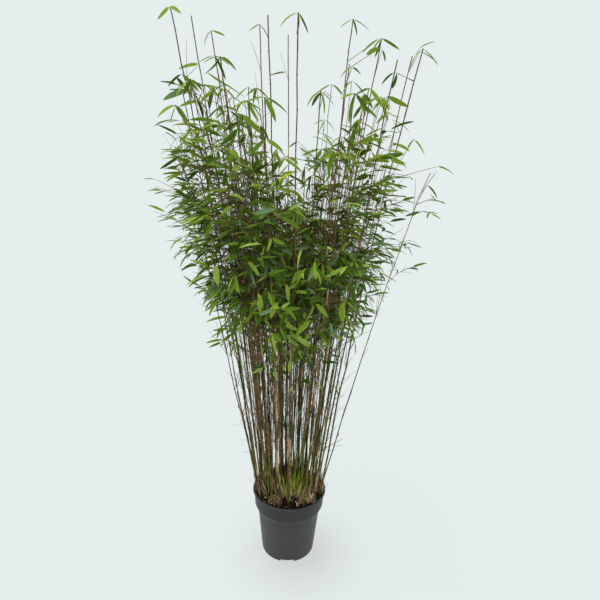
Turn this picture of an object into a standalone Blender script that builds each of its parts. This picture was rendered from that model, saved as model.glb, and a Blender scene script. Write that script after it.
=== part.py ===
"""Potted clump bamboo: a grower's pot, its filled root ball, the canes and the masses of foliage.

Run it with blender --background --python part.py, or from Blender's text editor.
Sizes are in metres and +Z is up. The origin is the middle of the pot's underside.
Each cane rises from the soil and leans out of the clump. A leafy cane ends where its foliage
begins, and a mass of foliage carries on from there: one stem, its twigs and their leaves.
A tall cane runs whole between the masses and ends bare above them.
"""

import math
import random

import bmesh
import bpy
import numpy as np
from mathutils import Matrix, Vector

# ---- the pot, in metres
POT_HEIGHT = 0.252
RIM_RADIUS = 0.140
BASE_RADIUS = 0.1006
WALL = 0.0025
BEAD_HEIGHT = 0.005
BEAD_DEPTH = 0.0064
BEAD_SLOPE = 0.002
COLLAR_HEIGHT = 0.056
COLLAR_TAPER = 0.002
SHOULDER_HEIGHT = 0.029
SHOULDER_DEPTH = 0.0136
FLOOR_THICKNESS = 0.003
CHANNEL_HEIGHT = 0.007
CHANNEL_INNER = 0.042
CHANNEL_OUTER = 0.0885
CHANNEL_SLOPE = 0.003
NOTCHES = 4
NOTCH_WIDTH = 0.052
NOTCH_HEIGHT = 0.007
TURNED_STEPS = 32

# ---- the root ball
SOIL_BELOW_RIM = 0.014
GAP = 0.0003

# ---- the canes
GROUND = POT_HEIGHT - SOIL_BELOW_RIM + GAP
REFERENCE_HEIGHT = 1.83
FOOT_RADIUS = 0.121
SPREAD_RADIUS = 0.39
FOOT_SHARE = 0.33
BOW = 0.24
CANE_RADIUS = 0.0042
CANE_TIP_RADIUS = 0.0015
FLARE = 0.35
FLARE_HEIGHT = 0.025
CANE_STEP = 0.40
CANE_CLEARANCE = 0.014

# Where each tall cane stands at the reference height, as (to the right, to the back), and where it ends.
TALL_CANES = (
    (-0.382, -0.06, 1.885),
    (-0.356, 0.12, 1.930),
    (-0.310, 0.22, 1.920),
    (-0.146, 0.20, 1.940),
    (-0.097, -0.15, 1.840),
    (-0.050, 0.32, 1.950),
    (-0.012, -0.22, 1.825),
    (0.158, 0.10, 1.930),
    (0.262, 0.15, 1.890),
    (0.290, -0.13, 1.745),
    (0.362, -0.10, 1.785),
    (0.380, 0.13, 1.830),
    (0.178, 0.28, 1.840),
    (0.068, 0.04, 1.690),
    (-0.240, -0.20, 1.720),
    (-0.190, 0.02, 1.650),
    (-0.110, -0.32, 1.600),
    (0.160, -0.30, 1.620),
)
# The lone cane that leans out furthest, with a small mass of its own.
OUTLYING_NAME = "outlying_cane"
OUTLYING_PLACE = (0.565, 0.00)
OUTLYING_SPLIT = 1.08
OUTLYING_TOP = 1.44
OUTLYING_REACH = 0.115

# ---- the foliage
LEAFY_CANES = 18
LEAFY_CANDIDATES = 44
INNER_CANES = 9
# Where the foliage starts and ends on the outer canes, and on the inner ones by turns.
OUTER_START = 0.83
TOP_MIDDLE = 1.37
TOP_SIDES = 1.67
TOP_RISE_WIDTH = 0.22
FRONT_DROP = 0.25
INNER_FOLIAGE = ((0.96, 1.20), (1.20, 1.42))
# The crown's outline, as (height, middle line's offset to the right, reach from that line).
CROWN_OUTLINE = (
    (0.76, -0.03, 0.20),
    (0.82, -0.03, 0.26),
    (1.00, -0.03, 0.33),
    (1.20, -0.04, 0.41),
    (1.36, -0.06, 0.45),
    (1.46, -0.06, 0.43),
    (1.58, -0.05, 0.40),
    (1.80, -0.02, 0.40),
)
CROWN_SHIFT = -0.05
FOLIAGE_REACH = 0.24
STEM_SHARE = 1.2
STEM_TIP_RADIUS = 0.0030
TWIG_RADIUS = 0.0025
TWIG_SPACING = 0.053
TWIG_LENGTH = 0.110
SHORTEST_TWIG = 0.022
OUTWARD_PULL = 1.6
LEAVES_PER_TWIG = 4
TIP_LEAVES = 3
LEAF_TRIES = 40
TWIG_TRIES = 12
LEAF_LENGTH = 0.115
LEAF_WIDTH = 0.029
LEAF_WIDEST = 0.36
LEAF_THICKNESS = 0.0018
LEAF_FOLD = 0.0035
LEAF_DROOP = 0.06
LEAF_APART = 0.007
OWN_SPACE = 0.006
FOLIAGE_CLEARANCE = 0.0055
SEED = 7

GOLDEN_ANGLE = math.pi * (3.0 - math.sqrt(5.0))


def clear_scene():
    """Removes the startup objects."""
    for thing in list(bpy.data.objects):
        bpy.data.objects.remove(thing)


def new_collection(name):
    made = bpy.data.collections.new(name)
    bpy.context.scene.collection.children.link(made)
    return made


def new_material(name, colour, roughness):
    """A Principled BSDF of one colour, with no metal in it."""
    material = bpy.data.materials.new(name)
    material.use_nodes = True
    shader = material.node_tree.nodes["Principled BSDF"]
    shader.inputs["Base Color"].default_value = (*colour, 1.0)
    shader.inputs["Roughness"].default_value = roughness
    shader.inputs["Metallic"].default_value = 0.0
    return material


def new_object(name, data, collection, material):
    made = bpy.data.objects.new(name, data)
    data.materials.append(material)
    collection.objects.link(made)
    return made


def place_shape(name, shape, collection, material):
    mesh = bpy.data.meshes.new(name)
    shape.to_mesh(mesh)
    shape.free()
    return new_object(name, mesh, collection, material)


# ---- the pot and what fills it


def turned(name, profile, collection, material):
    """A solid of revolution about Z. The profile runs from axis to axis, and down its outer side."""
    shape = bmesh.new()
    points = [shape.verts.new((radius, 0.0, height)) for radius, height in profile]
    for first, second in zip(points, points[1:]):
        shape.edges.new((first, second))
    made = place_shape(name, shape, collection, material)
    screw = made.modifiers.new("turn", "SCREW")
    screw.axis = "Z"
    screw.steps = TURNED_STEPS
    screw.render_steps = TURNED_STEPS
    screw.use_merge_vertices = True
    screw.merge_threshold = 0.0001
    return made


def wall_radius(height):
    """The pot's outer radius at a height on its wall below the shoulder."""
    top = POT_HEIGHT - COLLAR_HEIGHT - SHOULDER_HEIGHT
    top_radius = RIM_RADIUS - BEAD_DEPTH - COLLAR_TAPER - SHOULDER_DEPTH
    return BASE_RADIUS + (top_radius - BASE_RADIUS) * height / top


def inside_profile(clearance):
    """The pot's stepped floor and inner wall, from the axis out and up to the rim, less a clearance."""
    collar_foot = POT_HEIGHT - COLLAR_HEIGHT
    shoulder_foot = collar_foot - SHOULDER_HEIGHT
    collar_radius = RIM_RADIUS - BEAD_DEPTH - WALL - clearance
    floor = FLOOR_THICKNESS + clearance
    raised_floor = floor + CHANNEL_HEIGHT
    return [
        (0.0, floor),
        (CHANNEL_INNER - CHANNEL_SLOPE - clearance, floor),
        (CHANNEL_INNER - clearance, raised_floor),
        (wall_radius(raised_floor) - WALL - clearance, raised_floor),
        (wall_radius(shoulder_foot) - WALL - clearance, shoulder_foot),
        (collar_radius - COLLAR_TAPER, collar_foot),
        (collar_radius, POT_HEIGHT),
    ]


def make_pot(collection, cutters, material):
    """A turned shell with a rim bead, a deep collar and a channel under the floor, notched for drainage."""
    collar_foot = POT_HEIGHT - COLLAR_HEIGHT
    shoulder_foot = collar_foot - SHOULDER_HEIGHT
    collar_radius = RIM_RADIUS - BEAD_DEPTH
    outside = [
        (RIM_RADIUS, POT_HEIGHT),
        (RIM_RADIUS, POT_HEIGHT - BEAD_HEIGHT),
        (collar_radius, POT_HEIGHT - BEAD_HEIGHT - BEAD_SLOPE),
        (collar_radius - COLLAR_TAPER, collar_foot),
        (wall_radius(shoulder_foot), shoulder_foot),
        (BASE_RADIUS, 0.0),
        (CHANNEL_OUTER, 0.0),
        (CHANNEL_OUTER - CHANNEL_SLOPE, CHANNEL_HEIGHT),
        (CHANNEL_INNER, CHANNEL_HEIGHT),
        (CHANNEL_INNER - CHANNEL_SLOPE, 0.0),
        (0.0, 0.0),
    ]
    pot = turned("pot", inside_profile(0.0) + outside, collection, material)
    for index in range(NOTCHES):
        notch = make_notch(index, cutters, material)
        cut = pot.modifiers.new(notch.name, "BOOLEAN")
        cut.operation = "DIFFERENCE"
        cut.object = notch
    return pot


def make_notch(index, cutters, material):
    """A box across the pot's foot ring, wide enough to let water out."""
    depth = BASE_RADIUS - CHANNEL_OUTER
    bearing = math.tau * index / NOTCHES - math.pi / 2.0
    shape = bmesh.new()
    bmesh.ops.create_cube(shape, size=1.0)
    bmesh.ops.scale(shape, verts=shape.verts, vec=(4.0 * depth, NOTCH_WIDTH, 2.0 * NOTCH_HEIGHT))
    bmesh.ops.translate(shape, verts=shape.verts, vec=(BASE_RADIUS, 0.0, 0.0))
    bmesh.ops.rotate(shape, verts=shape.verts, cent=(0.0, 0.0, 0.0), matrix=Matrix.Rotation(bearing, 3, "Z"))
    notch = place_shape(f"notch_{index + 1}", shape, cutters, material)
    notch.hide_render = True
    notch.display_type = "WIRE"
    return notch


def make_root_ball(collection, material):
    """The filling of the pot, a gap clear of its wall and floor, with a flat top."""
    profile = inside_profile(GAP)
    rim_radius = profile.pop()[0]
    top_radius = rim_radius - COLLAR_TAPER * SOIL_BELOW_RIM / COLLAR_HEIGHT
    profile += [(top_radius, POT_HEIGHT - SOIL_BELOW_RIM), (0.0, POT_HEIGHT - SOIL_BELOW_RIM)]
    profile.reverse()
    return turned("root_ball", profile, collection, material)


# ---- the canes


class Cane:
    """A cane's line from its foot in the soil, bowing out to its place at the reference height.

    The cane's own solid ends at its split. A leafy cane's foliage carries it on from there to its top.
    """

    def __init__(self, name, place, split, top, reach=FOLIAGE_REACH):
        self.name = name
        self.reach = reach
        self.place = Vector((place[0], place[1], 0.0))
        self.foot = self.place * min(FOOT_SHARE, FOOT_RADIUS / self.place.length)
        self.split = split
        self.top = top

    def at(self, height):
        """The middle of the cane at a height."""
        share = (height - GROUND) / (REFERENCE_HEIGHT - GROUND)
        spot = self.foot.lerp(self.place, (1.0 - BOW) * share + BOW * share * share)
        spot.z = height
        return spot

    def radius(self, height):
        """The radius at a height, tapering to the top, with a flare at the foot."""
        share = (height - GROUND) / (self.top - GROUND)
        flare = max(0.0, 1.0 - (height - GROUND) / FLARE_HEIGHT)
        return (CANE_RADIUS + (CANE_TIP_RADIUS - CANE_RADIUS) * share) * (1.0 + FLARE * flare)

    def direction(self, height):
        return (self.at(height + 0.01) - self.at(height - 0.01)).normalized()

    def distance(self, spot, lowest, highest):
        """How far a spot is from the stretch of this cane between two heights."""
        return (self.at(min(max(spot.z, lowest), highest)) - spot).length


def clear_of(cane, others):
    """True if the cane keeps its clearance from all the others, from the soil to the reference height."""
    for step in range(13):
        spot = cane.at(GROUND + (REFERENCE_HEIGHT - GROUND) * step / 12.0)
        for other in others:
            if other.distance(spot, spot.z, spot.z) < CANE_CLEARANCE:
                return False
    return True


def tall_canes():
    return [Cane(f"tall_cane_{n + 1:02d}", (x, y), top, top) for n, (x, y, top) in enumerate(TALL_CANES)]


def leafy_canes(tall, dice):
    """Canes set by the golden angle, evenly over the clump, leaving out any that would crowd a tall one.

    Foliage covers the outer canes, highest at the sides. The inner canes carry it low and high by turns.
    """
    found = []
    for index in range(LEAFY_CANDIDATES):
        reach = SPREAD_RADIUS * math.sqrt((index + 0.5) / LEAFY_CANDIDATES)
        bearing = index * GOLDEN_ANGLE + dice.uniform(-0.15, 0.15)
        place = (CROWN_SHIFT + reach * math.cos(bearing), reach * math.sin(bearing))
        cane = Cane("", place, REFERENCE_HEIGHT, REFERENCE_HEIGHT)
        if clear_of(cane, tall + found):
            found.append(cane)
    step = len(found) / LEAFY_CANES
    chosen = [found[int(step * (n + 0.5))] for n in range(LEAFY_CANES)]
    for number, cane in enumerate(chosen):
        cane.name = f"leafy_cane_{number + 1:02d}"
        start, end = INNER_FOLIAGE[number % 2]
        if number >= INNER_CANES:
            rise = min(1.0, abs(cane.place.x) / TOP_RISE_WIDTH)
            start = OUTER_START
            end = TOP_MIDDLE + (TOP_SIDES - TOP_MIDDLE) * rise + FRONT_DROP * min(0.0, cane.place.y)
        cane.split = start + dice.uniform(-0.03, 0.03)
        cane.top = end + dice.uniform(-0.04, 0.04)
    return chosen


def tube(name, spots, radii, sides):
    """A tapering curve through the spots, with filled ends. It has 4 sides, or 6."""
    curve = bpy.data.curves.new(name, "CURVE")
    curve.dimensions = "3D"
    curve.bevel_depth = 1.0
    curve.bevel_resolution = (sides - 4) // 2
    curve.use_fill_caps = True
    spline = curve.splines.new("POLY")
    spline.points.add(len(spots) - 1)
    for point, spot, radius in zip(spline.points, spots, radii):
        point.co = (*spot, 1.0)
        point.radius = radius
    return curve


def make_cane(cane, collection, material):
    """The cane from a flat cut on the soil to its split. It starts upright, so that the cut is level."""
    heights = [GROUND, GROUND + 0.2 * FLARE_HEIGHT, GROUND + FLARE_HEIGHT]
    stretches = max(2, round((cane.split - heights[-1]) / CANE_STEP))
    heights += [heights[-1] + (cane.split - heights[-1]) * (n + 1) / stretches for n in range(stretches)]
    spots = [cane.at(height) for height in heights]
    spots[0] = Vector((spots[1].x, spots[1].y, GROUND))
    radii = [cane.radius(height) for height in heights]
    return new_object(cane.name, tube(cane.name, spots, radii, 6), collection, material)


# ---- the foliage


class Space:
    """The space each mass keeps to: nearer to its own stem than to any other, and off every cane."""

    def __init__(self, canes):
        self.names = np.array([cane.name for cane in canes])
        self.foot = np.array([cane.foot for cane in canes])
        self.place = np.array([cane.place for cane in canes])
        self.split = np.array([cane.split for cane in canes])
        self.top = np.array([cane.top for cane in canes])

    def distances(self, spots, lowest, highest):
        """How far each spot is from each cane's stretch between two heights."""
        heights = np.clip(spots[:, 2:], lowest, highest)
        share = (heights - GROUND) / (REFERENCE_HEIGHT - GROUND)
        out = ((1.0 - BOW) * share + BOW * share * share)[:, :, None]
        line = self.foot + (self.place - self.foot) * out
        line[:, :, 2] = heights
        return np.linalg.norm(spots[:, None, :] - line, axis=2)

    def holds(self, owner, spots):
        """True if all the spots lie in the owner's space, and inside the crown's outline."""
        spots = np.array(spots)
        if owner.name != OUTLYING_NAME and not in_crown(spots):
            return False
        if self.distances(spots, GROUND, self.split).min() < CANE_RADIUS + FOLIAGE_CLEARANCE:
            return False
        stems = self.distances(spots, self.split, self.top)
        own = stems[:, self.names == owner.name]
        others = stems[:, (self.names != owner.name) & (self.top > self.split)]
        return own.max() < owner.reach and (others > own + OWN_SPACE).all()


def in_crown(spots):
    heights, middles, reaches = zip(*CROWN_OUTLINE)
    middle = np.interp(spots[:, 2], heights, middles)
    reach = np.interp(spots[:, 2], heights, reaches, left=0.0, right=0.0)
    return (np.hypot(spots[:, 0] - middle, spots[:, 1]) < reach).all()


class Leaf:
    """A folded blade of eight faces, drawn out to a tip and widest a third of the way along."""

    def __init__(self, root, aim, up, length):
        self.side = aim.cross(up).normalized()
        self.face = self.side.cross(aim).normalized()
        self.root = root
        self.aim = aim
        self.length = length
        self.half_width = 0.5 * LEAF_WIDTH * length / LEAF_LENGTH
        self.spots = self.sample()

    def at(self, along, across, lift):
        return self.root + self.aim * along + self.side * across + self.face * lift

    def sample(self):
        """Points over the blade from just beyond its root, too close for a cane to slip between them."""
        widest = LEAF_WIDEST * self.length
        found = []
        for step in range(3, 17):
            along = self.length * step / 16.0
            wide = min(along / widest, (self.length - along) / (self.length - widest))
            drop = LEAF_DROOP * self.length * max(0.0, along - widest) / (self.length - widest)
            for part in (-1.0, -0.5, 0.0, 0.5, 1.0):
                lift = LEAF_FOLD * wide * abs(part) - drop
                found.append(self.at(along, part * wide * self.half_width, lift))
        return np.array(found)

    def apart_from(self, others):
        """True if the blade, from a third of its length on, is clear of all the others."""
        near = [leaf.spots for leaf in others if (leaf.root - self.root).length < 2.0 * LEAF_LENGTH]
        if not near:
            return True
        return np.linalg.norm(self.spots[5:, None, :] - np.concatenate(near), axis=2).min() > LEAF_APART

    def shape(self):
        """The blade's four root faces and four tip faces, round a ring at its widest."""
        widest = LEAF_WIDEST * self.length
        shape = bmesh.new()
        root = shape.verts.new(self.at(0.0, 0.0, 0.0))
        tip = shape.verts.new(self.at(self.length, 0.0, -LEAF_DROOP * self.length))
        ring = (
            (self.half_width, LEAF_FOLD),
            (0.0, LEAF_THICKNESS / 2.0),
            (-self.half_width, LEAF_FOLD),
            (0.0, -LEAF_THICKNESS / 2.0),
        )
        middle = [shape.verts.new(self.at(widest, across, lift)) for across, lift in ring]
        for first, second in zip(middle, middle[1:] + middle[:1]):
            shape.faces.new((root, second, first))
            shape.faces.new((tip, first, second))
        bmesh.ops.recalc_face_normals(shape, faces=shape.faces)
        return shape


class Mass:
    """The twigs and leaves that grow by a seeded rule on from a cane's split, all in the cane's own space."""

    def __init__(self, cane, space, dice):
        self.cane = cane
        self.space = space
        self.dice = dice
        self.twigs = []
        self.leaves = []
        self.grow_tip()
        turn = dice.uniform(0.0, math.tau)
        height = cane.split + 0.03
        while height < cane.top - 0.01:
            turn += GOLDEN_ANGLE
            self.grow_twig(height, turn)
            height += TWIG_SPACING * dice.uniform(0.75, 1.25)

    def grow_tip(self):
        """The fan of leaves at the top of the stem."""
        for number in range(TIP_LEAVES):
            turn = number * math.tau / TIP_LEAVES + self.dice.uniform(-0.5, 0.5)
            sideways = Vector((math.cos(turn), math.sin(turn), 0.0))
            root = self.cane.at(self.cane.top - 0.005 - 0.008 * number)
            self.grow_leaf(root, self.cane.direction(self.cane.top), sideways)

    def grow_twig(self, height, turn):
        """A twig climbing out from the stem, with leaves in turn on its two sides and one at its end."""
        start = self.cane.at(height)
        outward = Vector((start.x, start.y, 0.0))
        length = TWIG_LENGTH * self.dice.uniform(0.75, 1.2)
        for attempt in range(TWIG_TRIES):
            sideways = Vector((math.cos(turn), math.sin(turn), 0.0))
            climb = self.cane.direction(height) * self.dice.uniform(0.3, 1.2)
            heading = (sideways + outward * OUTWARD_PULL + climb).normalized()
            if self.space.holds(self.cane, [start + heading * (length * n / 10.0) for n in range(2, 11)]):
                break
            length = max(SHORTEST_TWIG, 0.88 * length)
            turn += self.dice.uniform(-0.5, 0.5)
        else:
            return
        across = heading.cross(Vector((0.0, 0.0, 1.0))).normalized()
        sides = [(-1.0) ** number for number in range(LEAVES_PER_TWIG - 1)] + [0.0]
        before = len(self.leaves)
        for number, side in enumerate(sides):
            root = start + heading * (length * (number + 1.0) / LEAVES_PER_TWIG)
            self.grow_leaf(root, heading, across * side)
        if len(self.leaves) > before:
            self.twigs.append((start, start + heading * length))

    def grow_leaf(self, root, heading, sideways):
        """A leaf, if one of a few tries at its aim and size keeps to the space. Otherwise it is skipped."""
        for attempt in range(LEAF_TRIES):
            wild = attempt / LEAF_TRIES
            sag = Vector((0.0, 0.0, self.dice.uniform(-0.8 * wild, 1.1 + wild)))
            aim = (heading + sideways * self.dice.uniform(0.4 - wild, 1.4) - sag).normalized()
            up = Vector((self.dice.uniform(-0.5, 0.5), self.dice.uniform(-0.5, 0.5), 1.0)).normalized()
            length = LEAF_LENGTH * self.dice.uniform(0.75, 1.1) * (1.0 - 0.3 * wild)
            # The root stays inside the twig: back to its far wall, or well in from its end.
            sink = 0.45 * TWIG_RADIUS / max(0.35, aim.cross(heading).length)
            leaf = Leaf(root - aim * sink, aim, up, length)
            if leaf.apart_from(self.leaves) and self.space.holds(self.cane, leaf.spots):
                self.leaves.append(leaf)
                return


def twig_shape(start, end):
    """A three-sided twig."""
    shape = bmesh.new()
    length = (end - start).length
    bmesh.ops.create_cone(
        shape, cap_ends=True, segments=3, radius1=TWIG_RADIUS, radius2=TWIG_RADIUS, depth=length
    )
    turn = (end - start).to_track_quat("Z", "Y").to_matrix().to_4x4()
    bmesh.ops.transform(shape, matrix=Matrix.Translation((start + end) / 2.0) @ turn, verts=shape.verts)
    return shape


def stem_shape(cane):
    """The four-sided stem that carries a cane on from its split to its top, as a closed mesh."""
    start = cane.split + GAP
    count = max(3, round((cane.top - start) / CANE_STEP))
    heights = [start + (cane.top - start) * n / count for n in range(count + 1)]
    radii = [max(STEM_SHARE * cane.radius(height), STEM_TIP_RADIUS) for height in heights]
    curve = tube("stem", [cane.at(height) for height in heights], radii, 4)
    guide = bpy.data.objects.new("stem", curve)
    shape = bmesh.new()
    shape.from_mesh(guide.to_mesh())
    guide.to_mesh_clear()
    bpy.data.objects.remove(guide)
    bmesh.ops.remove_doubles(shape, verts=shape.verts, dist=0.00001)
    bmesh.ops.recalc_face_normals(shape, faces=shape.faces)
    return shape


def make_mass(name, mass, collection, material):
    """The mass as one solid: twigs and leaves joined onto the stem by one Boolean union, which is applied."""
    stem = place_shape(name, stem_shape(mass.cane), collection, material)
    parts = new_collection(name + "_parts")
    for start, end in mass.twigs:
        place_shape("twig", twig_shape(start, end), parts, material)
    for leaf in mass.leaves:
        place_shape("leaf", leaf.shape(), parts, material)
    union = stem.modifiers.new("fuse", "BOOLEAN")
    union.operation = "UNION"
    union.operand_type = "COLLECTION"
    union.collection = parts
    union.solver = "MANIFOLD"
    graph = bpy.context.evaluated_depsgraph_get()
    stem.data = bpy.data.meshes.new_from_object(stem.evaluated_get(graph))
    stem.modifiers.remove(union)
    for part in list(parts.objects):
        bpy.data.objects.remove(part)
    bpy.data.collections.remove(parts)


def main():
    clear_scene()
    dice = random.Random(SEED)
    plant = new_collection("potted_bamboo")
    cutters = new_collection("cutters")
    pot_plastic = new_material("pot_plastic", (0.065, 0.065, 0.070), 0.55)
    potting_mix = new_material("potting_mix", (0.035, 0.024, 0.016), 0.95)
    cane_skin = new_material("cane", (0.20, 0.15, 0.07), 0.5)
    leaf_green = new_material("leaf", (0.10, 0.23, 0.045), 0.5)
    make_pot(plant, cutters, pot_plastic)
    make_root_ball(plant, potting_mix)
    tall = tall_canes()
    outlying = Cane(OUTLYING_NAME, OUTLYING_PLACE, OUTLYING_SPLIT, OUTLYING_TOP, OUTLYING_REACH)
    leafy = leafy_canes(tall + [outlying], dice) + [outlying]
    for cane in tall + leafy:
        make_cane(cane, plant, cane_skin)
    space = Space(tall + leafy)
    for number, cane in enumerate(leafy):
        make_mass(f"foliage_{number + 1:02d}", Mass(cane, space, dice), plant, leaf_green)


main()
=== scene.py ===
"""A potted bamboo: the grower's pot, its soil and litter, the canes, and the foliage that grows on from them.

Run as a script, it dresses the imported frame. Each group of pieces is an operator, and the sizes and colours
that a user would change are scene properties, listed with the operators in a panel.
"""

import functools
import math
import random
from types import SimpleNamespace

import bpy
import numpy as np
from mathutils import Matrix, Vector


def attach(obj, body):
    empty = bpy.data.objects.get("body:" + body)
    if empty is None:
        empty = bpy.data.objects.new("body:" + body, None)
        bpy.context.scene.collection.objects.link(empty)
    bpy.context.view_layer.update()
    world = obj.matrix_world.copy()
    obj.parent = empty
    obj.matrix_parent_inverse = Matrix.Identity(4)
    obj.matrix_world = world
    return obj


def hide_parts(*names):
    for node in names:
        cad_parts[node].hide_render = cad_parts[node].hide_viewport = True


bl_info = {
    "name": "Potted Bamboo",
    "version": (1, 0, 0),
    "blender": (4, 5, 0),
    "location": "View3D > Sidebar > Bamboo",
    "description": "Adds a clump-forming bamboo in a grower's pot",
    "category": "Add Mesh",
}

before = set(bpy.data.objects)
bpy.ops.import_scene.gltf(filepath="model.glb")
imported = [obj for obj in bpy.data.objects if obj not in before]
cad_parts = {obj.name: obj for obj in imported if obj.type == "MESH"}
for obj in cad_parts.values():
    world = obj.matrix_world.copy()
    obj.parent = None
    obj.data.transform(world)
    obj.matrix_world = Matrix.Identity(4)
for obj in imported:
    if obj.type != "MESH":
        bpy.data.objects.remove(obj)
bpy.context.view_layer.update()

# ---- the pot, in metres
POT_HEIGHT = 0.252
RIM_RADIUS = 0.140
BASE_RADIUS = 0.1006
WALL = 0.0025
BEAD_HEIGHT = 0.005
BEAD_DEPTH = 0.0064
BEAD_SLOPE = 0.002
RIM_ROUND = 0.0015
CORNER_ROUND = 0.0016
COLLAR_HEIGHT = 0.056
COLLAR_TAPER = 0.002
SHOULDER_HEIGHT = 0.029
SHOULDER_DEPTH = 0.0136
FLOOR_THICKNESS = 0.003
CHANNEL_HEIGHT = 0.007
CHANNEL_INNER = 0.042
CHANNEL_OUTER = 0.0885
CHANNEL_SLOPE = 0.003
COLLAR_FOOT = POT_HEIGHT - COLLAR_HEIGHT
SHOULDER_FOOT = COLLAR_FOOT - SHOULDER_HEIGHT
NOTCHES = 4
NOTCH_WIDTH = 0.052
SOIL_BELOW_RIM = 0.014
GAP = 0.0003

# ---- the canes' lines, as in the solids
GROUND = POT_HEIGHT - SOIL_BELOW_RIM + GAP
REFERENCE_HEIGHT = 1.83
FOOT_RADIUS = 0.121
SPREAD_RADIUS = 0.39
FOOT_SHARE = 0.33
BOW = 0.24
CANE_RADIUS = 0.0042
CANE_TIP_RADIUS = 0.0015
FLARE = 0.20
FLARE_HEIGHT = 0.025
CANE_CLEARANCE = 0.014
# Each tall cane's place at the reference height, and its top.
TALL_CANES = (
    (-0.382, -0.06, 1.885),
    (-0.356, 0.12, 1.930),
    (-0.310, 0.22, 1.920),
    (-0.146, 0.20, 1.940),
    (-0.097, -0.15, 1.840),
    (-0.050, 0.32, 1.950),
    (-0.012, -0.22, 1.825),
    (0.158, 0.10, 1.930),
    (0.262, 0.15, 1.890),
    (0.290, -0.13, 1.745),
    (0.362, -0.10, 1.785),
    (0.380, 0.13, 1.830),
    (0.178, 0.28, 1.840),
    (0.068, 0.04, 1.690),
    (-0.240, -0.20, 1.720),
    (-0.190, 0.02, 1.650),
    (-0.110, -0.32, 1.600),
    (0.160, -0.30, 1.620),
)
OUTLYING_PLACE = (0.565, 0.00)
OUTLYING_SPLIT = 1.08
OUTLYING_TOP = 1.44
LEAFY_CANES = 18
LEAFY_CANDIDATES = 44
INNER_CANES = 9
OUTER_START = 0.83
TOP_MIDDLE = 1.37
TOP_SIDES = 1.67
TOP_RISE_WIDTH = 0.22
FRONT_DROP = 0.25
INNER_FOLIAGE = ((0.96, 1.20), (1.20, 1.42))
CROWN_SHIFT = -0.05
SOURCE_SEED = 7
GOLDEN_ANGLE = math.pi * (3.0 - math.sqrt(5.0))

# ---- the canes that only the finished plant has
SLENDER_CANES = 96
SLENDER_CANDIDATES = 900
SLENDER_CLEARANCE = 0.0048
SLENDER_SHARE = 0.62
SLENDER_RANGE = (0.70, 1.30)
CANE_SHARE = 0.68
SLIMMEST = 0.0023
SLENDER_FOOT_SHARE = 0.27
SLENDER_WIDTH = 0.92
# How far the slender canes' feet scatter, to the right and to the back, and the furthest that one stands out.
FOOT_SCATTER = (0.031, 0.026)
FURTHEST_FOOT = 0.108
FRONT_FOOT = -0.050
RIGHT_FEET = 0.035
HIGH_TOPS = 0.16
# The shortest internode, how much longer the longest is, and how far a joint stands off a cane's smooth line.
SHORTEST_INTERNODE = 0.035
INTERNODE_GROWTH = 0.105
KINK = 0.0015
# A loose cane sways about its line this far, a stiff one that far, and a loose one bends over from a height.
LOOSE_SWAY = 0.0060
STIFF_SWAY = 0.0018
BEND_START = 1.10
BEND = 0.085
# Canes that lean out from the clump's edge: place at the reference height, and top.
LEANING_CANES = ((-0.500, -0.02, 1.42), (-0.452, 0.06, 1.50), (-0.43, -0.12, 1.46))

# The thickness of the other canes, as a share of a leafy cane's.
TALL_THICKNESS = 1.15
OUTLYING_THICKNESS = 0.8
LEANING_THICKNESS = 0.85
# Where the young shoots crowd, between the canes' feet.
SHOOTS_PLACE = (0.010, -0.016)
SHOOTS_WIDTH = 0.042
# The parting in the clump: its place to the right, its width to each side, and the share of canes left out.
PARTING = 0.008
PARTING_WIDTH = 0.010
PARTING_SHARE = 0.75

# ---- the canes' dress
CANE_SIDES = 8
# Each cane's and sheath's map lies in one of so many lanes, so that neighbours differ in their mottling.
LANES = 4
PALE_SHEATHS = 0.50
SHEATH_SIDES = 10
# By height: how much browner the internodes are, and the share that has a sheath or a side shoot.
BROWNER = ((0.3, -0.25), (0.8, 0.05), (1.2, 0.48), (1.8, 0.85))
SHEATHED = ((0.25, 0.70), (0.5, 0.50), (0.9, 0.38), (1.2, 0.2), (1.6, 0.04))
SIDE_SHOOTS = ((0.32, 0.0), (0.45, 0.45), (0.70, 0.9), (1.20, 0.9), (1.35, 0.35), (1.5, 0.05))
# Each kind of internode: the colour of its streaks and of its bloom. The wall's own colour is a property.
CULMS = (
    ("olive_culms", (0.110, 0.062, 0.024), (0.24, 0.24, 0.10)),
    ("brown_culms", (0.052, 0.056, 0.010), (0.32, 0.23, 0.13)),
    ("plum_culms", (0.040, 0.026, 0.014), (0.24, 0.17, 0.12)),
    ("fresh_culms", (0.110, 0.140, 0.018), (0.38, 0.40, 0.09)),
    ("shaded_culms", (0.022, 0.017, 0.005), (0.070, 0.065, 0.022)),
)
BROWN_CULM, FRESH_CULM, SHADED_CULM = 1, 3, 4
SHADED_OLIVE = 0.42
# Dead twigs that stand off the clump: root and tip.
STRAY_TWIGS = (
    ((0.112, -0.055, 0.436), (0.187, -0.060, 0.498)),
    ((-0.228, -0.040, 0.945), (-0.318, -0.060, 0.985)),
    ((0.150, -0.050, 0.640), (0.182, -0.070, 0.672)),
)

# ---- the litter on the soil and the shoots in it
# The straw heaps on the soil, right and left: middle, spread, and the range of draws that go to each.
RIGHT_HEAP = ((0.068, -0.060), (0.027, 0.024), (0.0, 0.36))
LEFT_HEAP = ((-0.072, -0.056), (0.024, 0.022), (0.84, 1.0))
# The draws after the right heap's, up to this one, go to a ring along the wall. Its radius, and the furthest
# from the middle that other litter starts and ends.
RING_END = 0.50
RING_RADIUS = 0.122
FURTHEST_LITTER = 0.114
FURTHEST_LITTER_END = 0.126
SOIL_RINGS = 58
SOIL_STEPS = 200
CRUMBS = 1900
BARK_BITS = 260
TUFTS_EACH = 8
PALE_TUFTS = 0.42
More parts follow.
